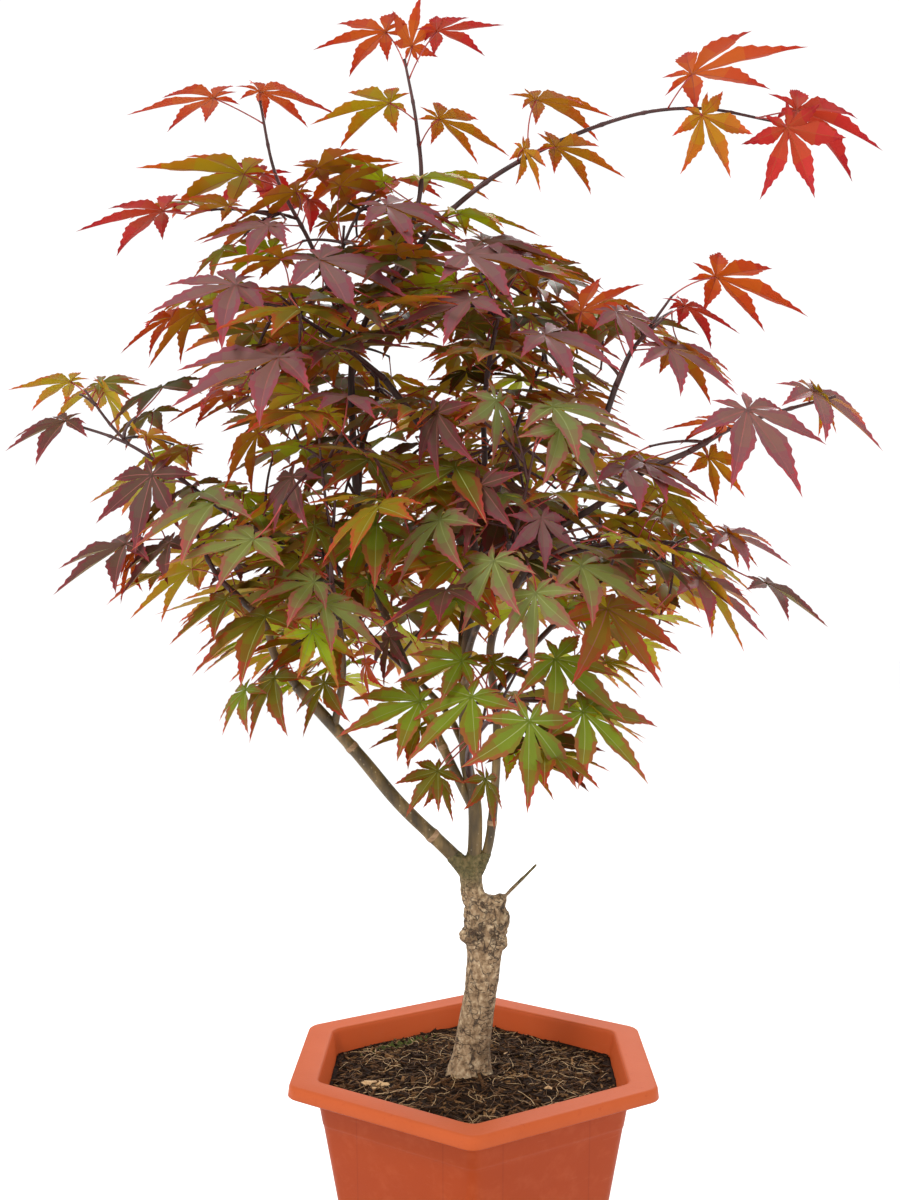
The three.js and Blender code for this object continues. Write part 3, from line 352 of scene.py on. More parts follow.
def smooth_line(points, per_span=14):
    """A centripetal Catmull-Rom line through the points."""
    knots = [np.array(point, float) for point in points]
    knots = [2 * knots[0] - knots[1], *knots, 2 * knots[-1] - knots[-2]]
    places = []
    for before, start, end, after in zip(knots, knots[1:], knots[2:], knots[3:]):
        t1 = np.linalg.norm(start - before) ** 0.5
        t2 = t1 + np.linalg.norm(end - start) ** 0.5
        t3 = t2 + np.linalg.norm(after - end) ** 0.5
        for t in np.linspace(t1, t2, per_span, endpoint=False):
            a1 = before * (t1 - t) / t1 + start * t / t1
            a2 = start * (t2 - t) / (t2 - t1) + end * (t - t1) / (t2 - t1)
            a3 = end * (t3 - t) / (t3 - t2) + after * (t - t2) / (t3 - t2)
            b1 = a1 * (t2 - t) / t2 + a2 * t / t2
            b2 = a2 * (t3 - t) / (t3 - t1) + a3 * (t - t1) / (t3 - t1)
            places.append(b1 * (t2 - t) / (t2 - t1) + b2 * (t - t1) / (t2 - t1))
    places.append(knots[-2])
    return Line(places)


def bent_line(start, middle, end, steps=12):
    shares = np.linspace(0, 1, steps + 1)[:, None]
    return Line(start * (1 - shares) ** 2 + 2 * middle * shares * (1 - shares) + end * shares ** 2)


def twig_line(foot, target):
    """A twig arches a little on its way from its foot to the place that it reaches for."""
    middle = (foot + target) / 2
    outward = unit((middle - crown_axis) * (1, 1, 0))
    lift = (UP * 0.1 + outward * 0.08) * np.linalg.norm(target - foot)
    return bent_line(foot, middle + lift, target)


# ------------------------------------------------------------------ meshes


class Skin:
    """Vertices, faces and each face's material number, gathered for one piece."""

    def __init__(self):
        self.blocks = []
        self.faces = []
        self.numbers = []
        self.count = 0

    def add(self, vertices, faces, numbers):
        self.blocks.append(vertices)
        self.faces.extend((np.array(face) + self.count).tolist() for face in faces)
        self.numbers.extend([numbers] * len(faces) if isinstance(numbers, int) else numbers)
        self.count += len(vertices)

    def piece(self, name, materials, smooth=True):
        mesh = bpy.data.meshes.new(name)
        mesh.from_pydata((np.concatenate(self.blocks) * MM).tolist(), [], self.faces)
        for material in materials:
            mesh.materials.append(material)
        mesh.polygons.foreach_set("material_index", self.numbers)
        mesh.polygons.foreach_set("use_smooth", [smooth] * len(self.faces))
        mesh.validate()
        mesh.update()
        thing = bpy.data.objects.new(name, mesh)
        bpy.context.scene.collection.objects.link(thing)
        return thing


def ring_faces(rings, sides):
    """The faces of a closed body made of rings, with a flat face at each end."""
    faces = []
    for ring in range(rings - 1):
        for side in range(sides):
            following = (side + 1) % sides
            a, b = ring * sides + side, ring * sides + following
            faces.append((a, b, b + sides, a + sides))
    faces.append(tuple(reversed(range(sides))))
    faces.append(tuple(range((rings - 1) * sides, rings * sides)))
    return faces


def sweep(skin, line, radius_at, sides, spacing, number):
    """A closed round limb along a line. Its rings turn with it without twisting."""
    rings = max(2, int(line.length / spacing) + 2)
    along = line.along(0.0)
    across = unit(np.cross(along, (0.31, 0.82, 0.48)))
    angles = np.arange(sides) * 2 * math.pi / sides
    vertices = []
    for distance in np.linspace(0.0, line.length, rings):
        along = line.along(distance)
        across = unit(across - along * np.dot(across, along))
        other = np.cross(along, across)
        radius = radius_at(distance)
        vertices.append(line.at(distance) + radius * (np.cos(angles)[:, None] * across
                                                      + np.sin(angles)[:, None] * other))
    skin.add(np.concatenate(vertices), ring_faces(rings, sides), number)


# ------------------------------------------------------------------ where things may grow

limb_lines = {name: smooth_line(limb.points) for name, limb in limbs.items()}
stem_lines = {name: smooth_line([limbs[mass.limb].points[-1], *mass.stem])
              for name, mass in masses.items()}
mass_names = list(masses)
mass_middles = np.array([mass.middle for mass in masses.values()], float)
mass_weights = np.array([(sum(mass.reach) / 3) ** 2 for mass in masses.values()])


def own_mass(place):
    """The mass that a place belongs to: the nearest, after each one's own weight is taken off."""
    return mass_names[int(np.argmin(((mass_middles - place) ** 2).sum(axis=1) - mass_weights))]


rod_places = np.concatenate([line.places for line in limb_lines.values()])


def clear_of_limbs(place, room):
    return ((rod_places - place) ** 2).sum(axis=1).min() > room ** 2


# ------------------------------------------------------------------ leaves

leaf_angles = (-136, -93, -47, 0, 47, 93, 136)
leaf_shares = (0.34, 0.62, 0.91, 1.0, 0.91, 0.62, 0.34)
lobe_profile_at = (0, 0.05, 0.1, 0.16, 0.22, 0.3, 0.38, 0.46, 0.54, 0.62, 0.7, 0.8, 0.9, 1)
lobe_profile = (0.02, 0.03, 0.043, 0.061, 0.082, 0.112, 0.136, 0.141, 0.127, 0.102, 0.073, 0.043,
                0.021, 0)
leaf_zones = ("base", "mid", "edge", "tip")
# A leaf's own face numbers: its upper side's zones come first, then its underside's and its ribs.
under_start = len(leaf_zones)
upper_rib = 2 * under_start
under_rib = upper_rib + 1
middle_zones = (0.5, 0.72, 0.88)
margin_zones = (0.22, 0.42, 0.7)
rib_width = 0.3
blade_thickness = 0.42
tooth_depth = 0.62
lobe_droop = (0.04, 0.13)
side_droop = 0.1
leaf_shapes = 9


def lobe_shape(skin, draw, degrees, length, droop, lift, stations):
    """One serrated, arching lobe as a thin closed body.

    Across its upper side run a margin, a wing, the rib, a wing and a margin, and below lie a wing,
    the rib and a wing. These are triangles, and one eight-sided face closes each end.
    """
    shares = np.linspace(0.0, 1.0, stations)
    widths = np.interp(shares, lobe_profile_at, lobe_profile) * leaf_lobe
    widths *= length ** 0.8 * draw.uniform(0.92, 1.08)
    teeth = np.where(np.arange(stations) % 2 == 1, 1.0, -0.7)
    teeth *= np.interp(shares, (0, 0.22, 0.34, 0.8, 1), (0, 0.2, 1, 0.75, 0)) * tooth_depth
    widths = np.maximum(0.02, widths + teeth * length ** 0.5)
    reach = shares * leaf_lobe * length
    sway = draw.uniform(-6, 6) * shares ** 2
    fall = leaf_lobe * length * droop * shares ** 2.2 * draw.uniform(0.7, 1.3)
    fold = draw.uniform(0.15, 0.5)
    ripple = 0.6 * np.sin(shares * draw.uniform(9, 14) + draw.uniform(0, 6))
    angle = math.radians(degrees + draw.uniform(-5, 5))
    ahead = np.array([math.cos(angle), math.sin(angle), 0.0])
    aside = np.array([-math.sin(angle), math.cos(angle), 0.0])
    ribs = rib_width * np.interp(shares, (0, 1), (1.0, 0.3))
    thick = blade_thickness * np.interp(shares, (0, 0.9, 1), (1.0, 0.6, 0.1))
    shift = draw.uniform(-0.06, 0.06)
    vertices = []
    for k in range(stations):
        middle = ahead * reach[k] + aside * sway[k] + UP * (lift - fall[k])
        width = widths[k]
        forward = ahead * (1.1 * length if k % 2 and k < stations - 1 else 0.0)
        raised = UP * width * (fold + 0.1 * ripple[k])
        inner = UP * width * (0.66 * fold + 0.07 * ripple[k] + 0.03)
        rib = min(ribs[k], width * 0.4)
        vertices += [middle - aside * width + forward + raised,
                     middle - aside * width * 0.62 + forward * 0.5 + inner,
                     middle - aside * rib + UP * thick[k] * 0.2,
                     middle + aside * rib + UP * thick[k] * 0.2,
                     middle + aside * width * 0.62 + forward * 0.5 + inner,
                     middle + aside * width + forward + raised,
                     middle + aside * rib - UP * thick[k],
                     middle - aside * rib - UP * thick[k]]
    faces, numbers = [], []
    for k in range(stations - 1):
        share = (shares[k] + shares[k + 1]) / 2
        in_middle = sum(share > start + shift for start in middle_zones)
        in_margin = sum(share > start + shift for start in margin_zones)
        below = under_start + (in_middle + in_margin) // 2
        across = (in_margin, in_middle, upper_rib, in_middle, in_margin, below, under_rib, below)
        for side, number in enumerate(across):
            a, b = k * 8 + side, k * 8 + (side + 1) % 8
            if side in (3, 4, 7):
                faces += [(a, b, a + 8), (b, b + 8, a + 8)]
            else:
                faces += [(a, b, b + 8), (a, b + 8, a + 8)]
            numbers += [number, number]
    faces.append((7, 6, 5, 4, 3, 2, 1, 0))
    numbers.append(0)
    last = (stations - 1) * 8
    faces.append(tuple(range(last, last + 8)))
    numbers.append(3)
    skin.add(np.array(vertices), faces, numbers)


def leaf_shape(seed):
    """A palmate leaf at its usual size, in mm: forward, left and up from its hub."""
    draw = random.Random(seed)
    skin = Skin()
    droop = draw.uniform(*lobe_droop)
    for order, (degrees, share) in enumerate(zip(leaf_angles, leaf_shares)):
        length = share * draw.uniform(0.9, 1.08)
        umbrella = droop + side_droop * abs(math.sin(math.radians(degrees)))
        lobe_shape(skin, draw, degrees, length, umbrella, 0.06 * order, 10 if share < 0.5 else 18)
    return np.concatenate(skin.blocks), skin.faces, skin.numbers


leaf_variants = [leaf_shape(seed) for seed in range(leaf_shapes)]


def resting_leaf(node, way, draw):
    """How a leaf lies: it points partly along its stalk and partly away from the crown's middle."""
    size = 0.78 + 0.36 * draw.random()
    hub = node + way * leaf_stalk * size
    outward = unit((hub - crown_axis) * (1, 1, 0))
    level = unit(way * (1, 1, 0) * 0.8 + outward * 0.6)
    height = min(1.0, max(0.0, (hub[2] - crown_foot) / (crown_top - crown_foot)))
    droop = math.radians(24 - 20 * height + 26 * (draw.random() - 0.5))
    forward = level * math.cos(droop) - UP * math.sin(droop)
    roll = math.radians(50 * (draw.random() - 0.5))
    upper = unit(UP - forward * forward[2])
    upper = upper * math.cos(roll) + np.cross(forward, upper) * math.sin(roll)
    return {"hub": hub, "forward": forward, "upper": upper, "size": size}


def showing_leaf(column, row, depth, heading, towards, facing, size, tint):
    """How a leaf lies that is placed by the way it shows from the front."""
    hub = seen_at(column, row, depth)
    ahead = unit(hub - lens_point)
    aside = unit(np.cross(ahead, UP))
    above = np.cross(aside, ahead)
    across = math.cos(math.radians(heading))
    rise = math.sin(math.radians(heading))
    lean = math.radians(towards)
    flat = aside * across + above * rise
    beside = math.copysign(1, across) * (above * across - aside * rise)
    forward = unit(flat * math.cos(lean) - ahead * math.sin(lean))
    upper = beside * math.sqrt(1 - facing * facing) - ahead * facing
    upper = unit(upper - forward * np.dot(upper, forward))
    return {"hub": hub, "forward": forward, "upper": upper, "size": size, "tint": tint}


def place_leaf(skin, leaf, order, draw):
    """Adds a leaf of a chance shape, its face numbers turned into the material numbers of order."""
    vertices, faces, numbers = draw.choice(leaf_variants)
    left = np.cross(leaf["upper"], leaf["forward"])
    basis = np.stack([leaf["forward"], left, leaf["upper"]])
    skin.add(leaf["hub"] + vertices @ basis * leaf["size"], faces,
             [order[number] for number in numbers])


# ------------------------------------------------------------------ growing the masses

Carrier = namedtuple("Carrier", "mass line")

growth = {name: {"leaves": [], "twigs": [], "stalks": []} for name in masses}
carriers = []
all_hubs = []
showing_hubs = []


def add_twig(name, line, radii=twig_radii):
    """A stem or twig of a mass, which carries leaves and further twigs."""
    carriers.append(Carrier(name, line))
    growth[name]["twigs"].append((line, radii))


for mass_name, stem_line in stem_lines.items():
    add_twig(mass_name, stem_line, stem_radii)


def nearest_foot(place, home=None):
    """How near a place the carriers come, and where on which of them its twig best grows."""
    best = None
    for carrier in carriers:
        if home is not None and carrier.mass != home:
            continue
        line = carrier.line
        ways = place - line.places
        lengths = np.linalg.norm(ways, axis=1)
        step = int(np.argmin(lengths))
        back = line.measure[step] - 0.5 * lengths[step]
        distance = min(max(back, 0.12 * line.length), 0.97 * line.length)
        cost = np.linalg.norm(place - line.at(distance))
        if best is None or cost < best[0]:
            best = (cost, carrier, distance)
    return best


def stalk_line(node, way, leaf):
    """A leaf stalk: it leaves along the twig's side and comes to the hub from behind it."""
    reach = np.linalg.norm(leaf["hub"] - node)
    middle = node + way * reach * 0.45
    arrival = leaf["hub"] - leaf["forward"] * 0.3 * reach - leaf["upper"] * 0.12 * reach
    return bent_line(node, (middle + arrival) / 2, leaf["hub"] - leaf["upper"] * 0.4, 7)


def hang_leaf(name, node, way, leaf):
    growth[name]["stalks"].append(stalk_line(node, way, leaf))
    growth[name]["leaves"].append(leaf)
    all_hubs.append(leaf["hub"])


def add_showing_leaf(values):
    """A leaf that shows: a stalk, after a twig where it is far off, joins it to what carries it."""
    leaf = showing_leaf(*values)
    _, carrier, distance = nearest_foot(leaf["hub"])
    foot = carrier.line.at(distance)
    way = leaf["hub"] - foot
    far = float(np.linalg.norm(way))
    if far > longest_stalk:
        arrival = unit(unit(way) * 0.7 + leaf["forward"] * 0.3)
        node = leaf["hub"] - arrival * leaf_stalk * leaf["size"]
        line = twig_line(foot, node)
        add_twig(carrier.mass, line)
        foot = node
        way = line.along(line.length)
    hang_leaf(carrier.mass, foot, unit(way), leaf)
    showing_hubs.append(leaf["hub"])


def add_showing_twig(name, depth, way):
    """A twig that shows: it runs from the nearest place on its mass's stem."""
    places = [seen_at(column, row, depth) for column, row in way]
    stem = stem_lines[name].places
    foot = stem[int(np.argmin(np.linalg.norm(stem - places[0], axis=1)))]
    add_twig(name, smooth_line([foot, *places[1:]]))


def distance_to_stem(values):
    hub = seen_at(*values[:3])
    return min(np.linalg.norm(line.places - hub, axis=1).min() for line in stem_lines.values())


for twig in showing_twigs:
    add_showing_twig(*twig)
for values in sorted(showing_leaves, key=distance_to_stem):
    add_showing_leaf(values)

fronts = np.array(showing_hubs)
front_room = 40
front_depth = 6


def hides_a_showing_leaf(hub):
    """True where a leaf would hang close in front of one that shows best from the front."""
    beside = np.hypot(fronts[:, 0] - hub[0], fronts[:, 2] - hub[2])
    return bool(((beside < front_room) & (hub[1] < fronts[:, 1] + front_depth)).any())


def in_view(place):
    """The column and row of the view at which a place shows."""
    way = place - lens_point
    scale = focal_pixels / np.dot(way, view_ahead)
    return (frame_width / 2 + np.dot(way, view_right) * scale,
            frame_height / 2 - np.dot(way, view_up) * scale)


def inside_outline(column, row):
    inside = False
    for (x1, y1), (x2, y2) in zip(crown_outline, crown_outline[1:] + crown_outline[:1]):
        if (y1 > row) != (y2 > row) and column < x1 + (row - y1) * (x2 - x1) / (y2 - y1):
            inside = not inside
    return inside


def in_one_of(rounds, column, row):
    return any(math.hypot(column - x, row - y) < room for x, y, room in rounds)


# Where on a leaf it is tried against the open places: an angle from its middle lobe, in degrees,
# and a share of that lobe's length.
leaf_feelers = ((0, 0.85), (45, 0.75), (-45, 0.75), (88, 0.5), (-88, 0.5))
window_depth = 30


def shows_in_sky(leaf):
    """True where a leaf would hang in the open places round the crown and between its sprays."""
    left = np.cross(leaf["upper"], leaf["forward"])
    for degrees, share in leaf_feelers:
        angle = math.radians(degrees)
        way = leaf["forward"] * math.cos(angle) + left * math.sin(angle)
        column, row = in_view(leaf["hub"] + way * leaf_lobe * leaf["size"] * share)
        if not inside_outline(column, row) or in_one_of(sky_places, column, row):
            return True
        if leaf["hub"][1] < window_depth and in_one_of(limb_windows, column, row):
            return True
    return False


def leaf_fits(name, leaf, room):
    hub = leaf["hub"]
    tip = hub + leaf["forward"] * leaf_lobe * leaf["size"] * 0.8
    if own_mass(hub) != name:
        return False
    middle = np.array(masses[name].middle, float)
    reach = np.array(masses[name].reach, float)
    if (((tip - middle) / (reach + leaf_overhang)) ** 2).sum() > 1 or shows_in_sky(leaf):
        return False
    if not clear_of_limbs(hub, limb_to_leaf) or hides_a_showing_leaf(hub):
        return False
    gaps = np.linalg.norm(np.array(all_hubs) - hub, axis=1)
    return gaps.min() > room


def grow_leaves(name, line, bare, draw, room):
    """Pairs of leaves along a twig from its tip back to its bare foot, each square to the last.

    It gives the distance along the twig of its outermost leaves.
    """
    order = 0
    reached = 0.0
    distance = line.length
    while distance > bare:
        node = line.at(distance)
        along = line.along(distance)
        across = unit(np.cross(along, UP))
        over = np.cross(along, across)
        outwards = (across, over, -across, -over)
        spread = 0.75 if order == 0 else 1.05
        for side in (order % 2, order % 2 + 2):
            beside = np.cross(along, outwards[side])
            for attempt in range(attempts_per_leaf):
                turn = (0.5 + 0.35 * attempt) * (draw.random() - 0.5)
                lean = spread + 0.15 * attempt * (draw.random() - 0.5)
                outward = outwards[side] * math.cos(turn) + beside * math.sin(turn)
                way = along * math.cos(lean) + outward * math.sin(lean)
                leaf = resting_leaf(node, way, draw)
                if not leaf_fits(name, leaf, room):
                    continue
                hang_leaf(name, node, way, leaf)
                reached = max(reached, distance)
                break
        distance -= twig_spacing
        order += 1
    return reached


def twig_targets(name, draw):
    """Places in a mass's space for its twigs to reach for, spread evenly all round its middle."""
    mass = masses[name]
    phase = 2 * math.pi * draw.random()
    for index in range(mass.twigs):
        rise = 1 - 2 * (index + 0.5) / mass.twigs
        level = math.sqrt(1 - rise * rise)
        turn = phase + index * golden_angle
        stretch = 0.5 + 0.5 * draw.random()
        yield np.array(mass.middle) + np.array(mass.reach) * stretch * (
            level * math.cos(turn), level * math.sin(turn), rise)


def grow_mass(name, seed):
    """Leaves along what a mass has so far, then its twigs with their own leaves."""
    draw = random.Random(seed)
    for line in [carrier.line for carrier in carriers if carrier.mass == name]:
        grow_leaves(name, line, twig_bare, draw, leaf_room)
    for target in twig_targets(name, draw):
        if own_mass(target) != name:
            continue
        cost, carrier, distance = nearest_foot(target, name)
        if cost < shortest_twig:
            continue
        line = twig_line(carrier.line.at(distance), target)
        if not all(clear_of_limbs(place, limb_to_twig) for place in line.places[3:]):
            continue
        if any(in_one_of(sky_places, *in_view(place)) for place in line.places[4:9]):
            continue
        reached = grow_leaves(name, line, twig_bare * 0.6, draw, leaf_room)
        if reached == 0:
            continue
        add_twig(name, Line([line.at(distance) for distance in np.linspace(0, reached, 12)]))


growth_seed = 101
tint_seed = 301
for number, mass_name in enumerate(masses):
    if mass_name not in bare_masses:
        grow_mass(mass_name, growth_seed + number)

# ------------------------------------------------------------------ shader maths


class Wire:
    """A shader socket that adds maths nodes when it is used in an expression."""

    def __init__(self, tree, socket):
        self.tree = tree
        self.socket = socket

    def maths(self, operation, other, swapped=False):
        node = self.tree.nodes.new("ShaderNodeMath")
        node.operation = operation
        for index, value in enumerate((other, self) if swapped else (self, other)):
            join(self.tree, value, node.inputs[index])
        return Wire(self.tree, node.outputs[0])

    def __add__(self, other):
        return self.maths("ADD", other)

    __radd__ = __add__

    def __sub__(self, other):
        return self.maths("SUBTRACT", other)

    def __rsub__(self, other):
        return self.maths("SUBTRACT", other, swapped=True)

    def __mul__(self, other):
        return self.maths("MULTIPLY", other)

    __rmul__ = __mul__

    def __truediv__(self, other):
        return self.maths("DIVIDE", other)

    def __rtruediv__(self, other):
        return self.maths("DIVIDE", other, swapped=True)


def join(tree, value, socket):
    """Links a wire to a socket, or sets the socket's own value."""
    if isinstance(value, Wire):
        tree.links.new(value.socket, socket)
    elif isinstance(value, (tuple, list)) and socket.type == "RGBA":
        socket.default_value = (*value[:3], 1.0)
    else:
        socket.default_value = value


class Finish:
    """A material whose nodes are made one by one."""

    def __init__(self, name):
        self.material = bpy.data.materials.new(name)
        self.material.use_nodes = True
        self.tree = self.material.node_tree
        self.tree.nodes.clear()

    def node(self, kind, settings=None, output=0, **inputs):
        """Adds a node of a type: its settings first, then the values or links of its sockets.

        A socket is named by its label, or by i and its number where labels repeat.
        """
        made = self.tree.nodes.new(kind)
        for name, value in (settings or {}).items():
            if name == "stops":
                while len(made.color_ramp.elements) < len(value):
                    made.color_ramp.elements.new(0.5)
                for element, (position, colour) in zip(made.color_ramp.elements, value):
                    element.position = position
                    element.color = (*colour, 1.0)
            else:
                setattr(made, name, value)
        for name, value in inputs.items():
            label = int(name[1:]) if name[1:].isdigit() else name.replace("_", " ")
            join(self.tree, value, made.inputs[label])
        return Wire(self.tree, made.outputs[output])

    def places(self):
        return self.node("ShaderNodeTexCoord", output="Object")

    def place_along(self, axis):
        return self.node("ShaderNodeSeparateXYZ", output=axis, Vector=self.places())

    def grain(self, scale, detail=3.0, stretch=(1, 1, 1), roughness=0.55):
        places = self.node("ShaderNodeMapping", Vector=self.places(), Scale=stretch)
        return self.node("ShaderNodeTexNoise", Vector=places, Scale=scale, Detail=detail,
                         Roughness=roughness)

    def cells(self, scale, stretch=(1, 1, 1)):
        """How far each place is from the middle of its cell."""
        places = self.node("ShaderNodeMapping", Vector=self.places(), Scale=stretch)
        return self.node("ShaderNodeTexVoronoi", {"feature": "F1"}, "Distance", Vector=places,
                         Scale=scale)

    def ramp(self, share, *stops):
        return self.node("ShaderNodeValToRGB", {"stops": stops}, "Color", Fac=share)

    def mask(self, share, low, high):
        """0 up to the low value of a share, 1 from the high one, and even between them."""
        return self.node("ShaderNodeMapRange", {"clamp": True}, i0=share, i1=low, i2=high)

    def mix(self, share, one, other):
        return self.node("ShaderNodeMix", {"data_type": "RGBA"}, 2, i0=share, i6=one, i7=other)

    def cracks(self, scale, stretch, width):
        """Thin winding lines, broken here and there: 1 on them and 0 between."""
        wave = self.grain(scale, 2.5, stretch) - 0.5
        broken = self.mask(self.grain(scale * 0.7, 2), 0.44, 0.56)
        return (1 - self.mask(wave * wave, 0.0, width)) * broken

    def solid(self, colour, roughness, height, strength, distance, **more):
        """The material of a solid thing, from its colour, its roughness and its fine relief."""
        relief = self.node("ShaderNodeBump", Height=height, Strength=strength, Distance=distance)
        return self.surface(self.node("ShaderNodeBsdfPrincipled", Base_Color=colour,
                                      Roughness=roughness, Normal=relief, **more))

    def surface(self, shader):
        output = self.tree.nodes.new("ShaderNodeOutputMaterial")
        self.tree.links.new(shader.socket, output.inputs["Surface"])
        return self.material


def rgb(red, green, blue):
    """A colour from its usual 0 to 255 numbers, as the linear light that shaders count in."""
    return tuple((c / 255 / 12.92) if c <= 10 else ((c / 255 + 0.055) / 1.055) ** 2.4
                 for c in (red, green, blue))


# ------------------------------------------------------------------ materials of leaves

# Each tint from a leaf's base over its middle and margins to its lobes' tips, above and below.
upper_tints = {
    "crimson": ((176, 66, 42), (182, 54, 46), (180, 44, 46), (168, 38, 46)),
    "flame": ((172, 84, 30), (174, 70, 32), (176, 56, 38), (168, 44, 42)),
    "bronze": ((110, 90, 26), (120, 79, 26), (134, 66, 30), (150, 54, 36)),
    "gold": ((114, 102, 22), (124, 93, 24), (140, 74, 30), (154, 58, 38)),
    "mauve": ((110, 84, 82), (112, 76, 82), (122, 66, 76), (142, 62, 70)),
    "wine": ((90, 62, 52), (94, 54, 52), (108, 48, 52), (132, 48, 54)),
    "sage": ((104, 108, 66), (110, 97, 68), (124, 80, 70), (142, 72, 70)),
    "green": ((98, 112, 34), (106, 98, 34), (126, 78, 44), (148, 64, 52)),
    "olive": ((88, 90, 24), (94, 78, 25), (112, 62, 31), (136, 50, 36)),
    "lime": ((132, 150, 36), (136, 136, 36), (146, 106, 42), (156, 84, 48)),
    # The darkest tint is painted shade: dark leaves that stand in for the shadow deep in the crown.
    "shade": ((58, 57, 18), (63, 50, 18), (82, 43, 23), (106, 36, 28)),
}
# The undersides are brighter, warmer tints than the upper sides: painted glow that stands in for light
# shining through the leaf.
under_glow_tints = {
    "ruby": ((146, 60, 36), (148, 46, 40), (142, 38, 42), (134, 32, 42)),
    "fiery": ((154, 84, 26), (152, 69, 28), (148, 54, 33), (142, 42, 37)),
    "amber": ((150, 108, 24), (152, 94, 26), (158, 78, 32), (164, 60, 40)),
    "golden": ((146, 128, 24), (150, 118, 26), (160, 92, 32), (168, 68, 42)),
    "leafy": ((146, 150, 28), (148, 134, 30), (156, 106, 36), (166, 84, 44)),
    # umber is dark: the underside of wine leaves and of the painted-shade tint.
    "umber": ((104, 92, 24), (108, 80, 26), (116, 62, 30), (126, 48, 34)),
}
under_of = {"crimson": "ruby", "flame": "fiery", "bronze": "amber", "gold": "golden",
            "mauve": "amber", "wine": "umber", "sage": "leafy", "green": "leafy",
            "olive": "golden", "lime": "leafy", "shade": "umber"}


def brighter(colour, by):
    return tuple(min(0.95, c * by) for c in colour)


def leaf_finish(name, colour, glow, through):
    """A thin leaf: a satin skin, and light that comes through it."""
    finish = Finish(name)
    skin = finish.node("ShaderNodeBsdfPrincipled", Base_Color=colour, Roughness=0.5,
                       Specular_IOR_Level=0.2)
    light = finish.node("ShaderNodeBsdfTranslucent", Color=glow)
    return finish.surface(finish.node("ShaderNodeMixShader", i0=through, i1=skin, i2=light))


upper_strength = 1.32
# The undersides are brightened more than the upper sides, as painted glow.
underside_glow_boost = 1.8
glow_strength = 2.25
glow_share = 0.42
leaf_materials = []
leaf_numbers = {}
for tint, tones in upper_tints.items():
    for zone, tone, below in zip(leaf_zones, tones, under_glow_tints[under_of[tint]]):
        glow = brighter(rgb(*[(a + 2 * b) / 3 for a, b in zip(tone, below)]), glow_strength)
        leaf_numbers["upper", tint, zone] = len(leaf_materials)
        upper = brighter(rgb(*tone), upper_strength)
        leaf_materials.append(leaf_finish(f"leaf_{tint}_{zone}", upper, glow, glow_share))
for tint, tones in under_glow_tints.items():
    for zone, tone in zip(leaf_zones, tones):
        under = brighter(rgb(*tone), underside_glow_boost)
        glow = brighter(rgb(*tone), glow_strength)
        leaf_numbers["under", tint, zone] = len(leaf_materials)
        leaf_materials.append(leaf_finish(f"underside_{tint}_{zone}", under, glow, glow_share))


def plain_finish(name, low, high, scale, roughness, stretch=(1, 1, 1)):
    """A grained surface of two tones."""
    finish = Finish(name)
    streak = finish.grain(scale, 5, stretch)
    colour = finish.mix(finish.mask(streak, 0.3, 0.7), low, high)
    return finish.solid(colour, roughness, finish.grain(scale * 2, 4, stretch), 0.3, 0.0006)


rib_tones = {"green rib": (140, 146, 84), "red rib": (146, 84, 76), "rib below": (158, 72, 40)}
rib_glow_share = 0.2
green_ribbed = ("sage", "green", "olive", "lime", "gold")
for name, tone in rib_tones.items():
    leaf_numbers[name] = len(leaf_materials)
    tone = brighter(rgb(*tone), upper_strength)
    leaf_materials.append(leaf_finish(name.replace(" ", "_"), tone, tone, rib_glow_share))
stalk_red = plain_finish("stalk_red", rgb(140, 40, 40), rgb(186, 70, 58), 200, 0.42, (1, 1, 0.2))
twig_bark = plain_finish("twig_bark", rgb(44, 18, 18), rgb(80, 36, 31), 160, 0.5, (1, 1, 0.25))


def material_order(tint):
    """The material number that each of a leaf shape's own face numbers stands for in a tint."""
    upper = [leaf_numbers["upper", tint, zone] for zone in leaf_zones]
    under = [leaf_numbers["under", under_of[tint], zone] for zone in leaf_zones]
    rib = "green rib" if tint in green_ribbed else "red rib"
    return upper + under + [leaf_numbers[rib], leaf_numbers["rib below"]]


def resting_tint(leaf, draw):
    """A chance tint by place: reds on top, olive, lime and the dark painted-shade tint inside, more
    mauve above than below.
    """
    hub = leaf["hub"]
    out = math.hypot(hub[0] - crown_axis[0], hub[1])
    if hub[2] > 985:
        return draw.choice(("flame", "flame", "bronze", "bronze", "crimson", "gold"))
    # Near the crown's middle the dark tint comes twice in seven, as painted shade.
    if out < 90:
        return draw.choice(("olive", "shade", "lime", "olive", "shade", "gold", "bronze"))
    if hub[2] > 880:
        return draw.choice(("mauve", "olive", "lime", "bronze", "mauve", "sage", "gold", "shade"))
    if hub[2] > 740:
        return draw.choice(("mauve", "bronze", "olive", "wine", "shade", "olive", "lime", "gold"))
    if hub[2] > 650:
        return draw.choice(("olive", "gold", "wine", "olive", "green", "sage", "shade"))
    return draw.choice(("green", "green", "olive", "sage", "lime", "gold", "shade"))


# ------------------------------------------------------------------ pieces of the masses

tint_orders = {tint: material_order(tint) for tint in upper_tints}
joint_rise = 0.3
joint_half = 1.8
sharp_edge = math.radians(50)


def tapering(radii, line, distance):
    return radii[0] + (radii[1] - radii[0]) * distance / line.length


def swelling(line, radii):
    """A radius that tapers along a line, with a small swelling at each joint of the twig."""
    def radius_at(distance):
        from_joint = (line.length - distance) % twig_spacing
        near = min(from_joint, twig_spacing - from_joint)
        return tapering(radii, line, distance) * (1 + joint_rise * math.exp(-(near / joint_half) ** 2))
    return radius_at


def stalk_thickness(distance):
    """A stalk's radius, which is greatest at its foot and even from 5 mm on."""
    return stalk_radius * (1.5 - 0.5 * min(1.0, distance / 5))


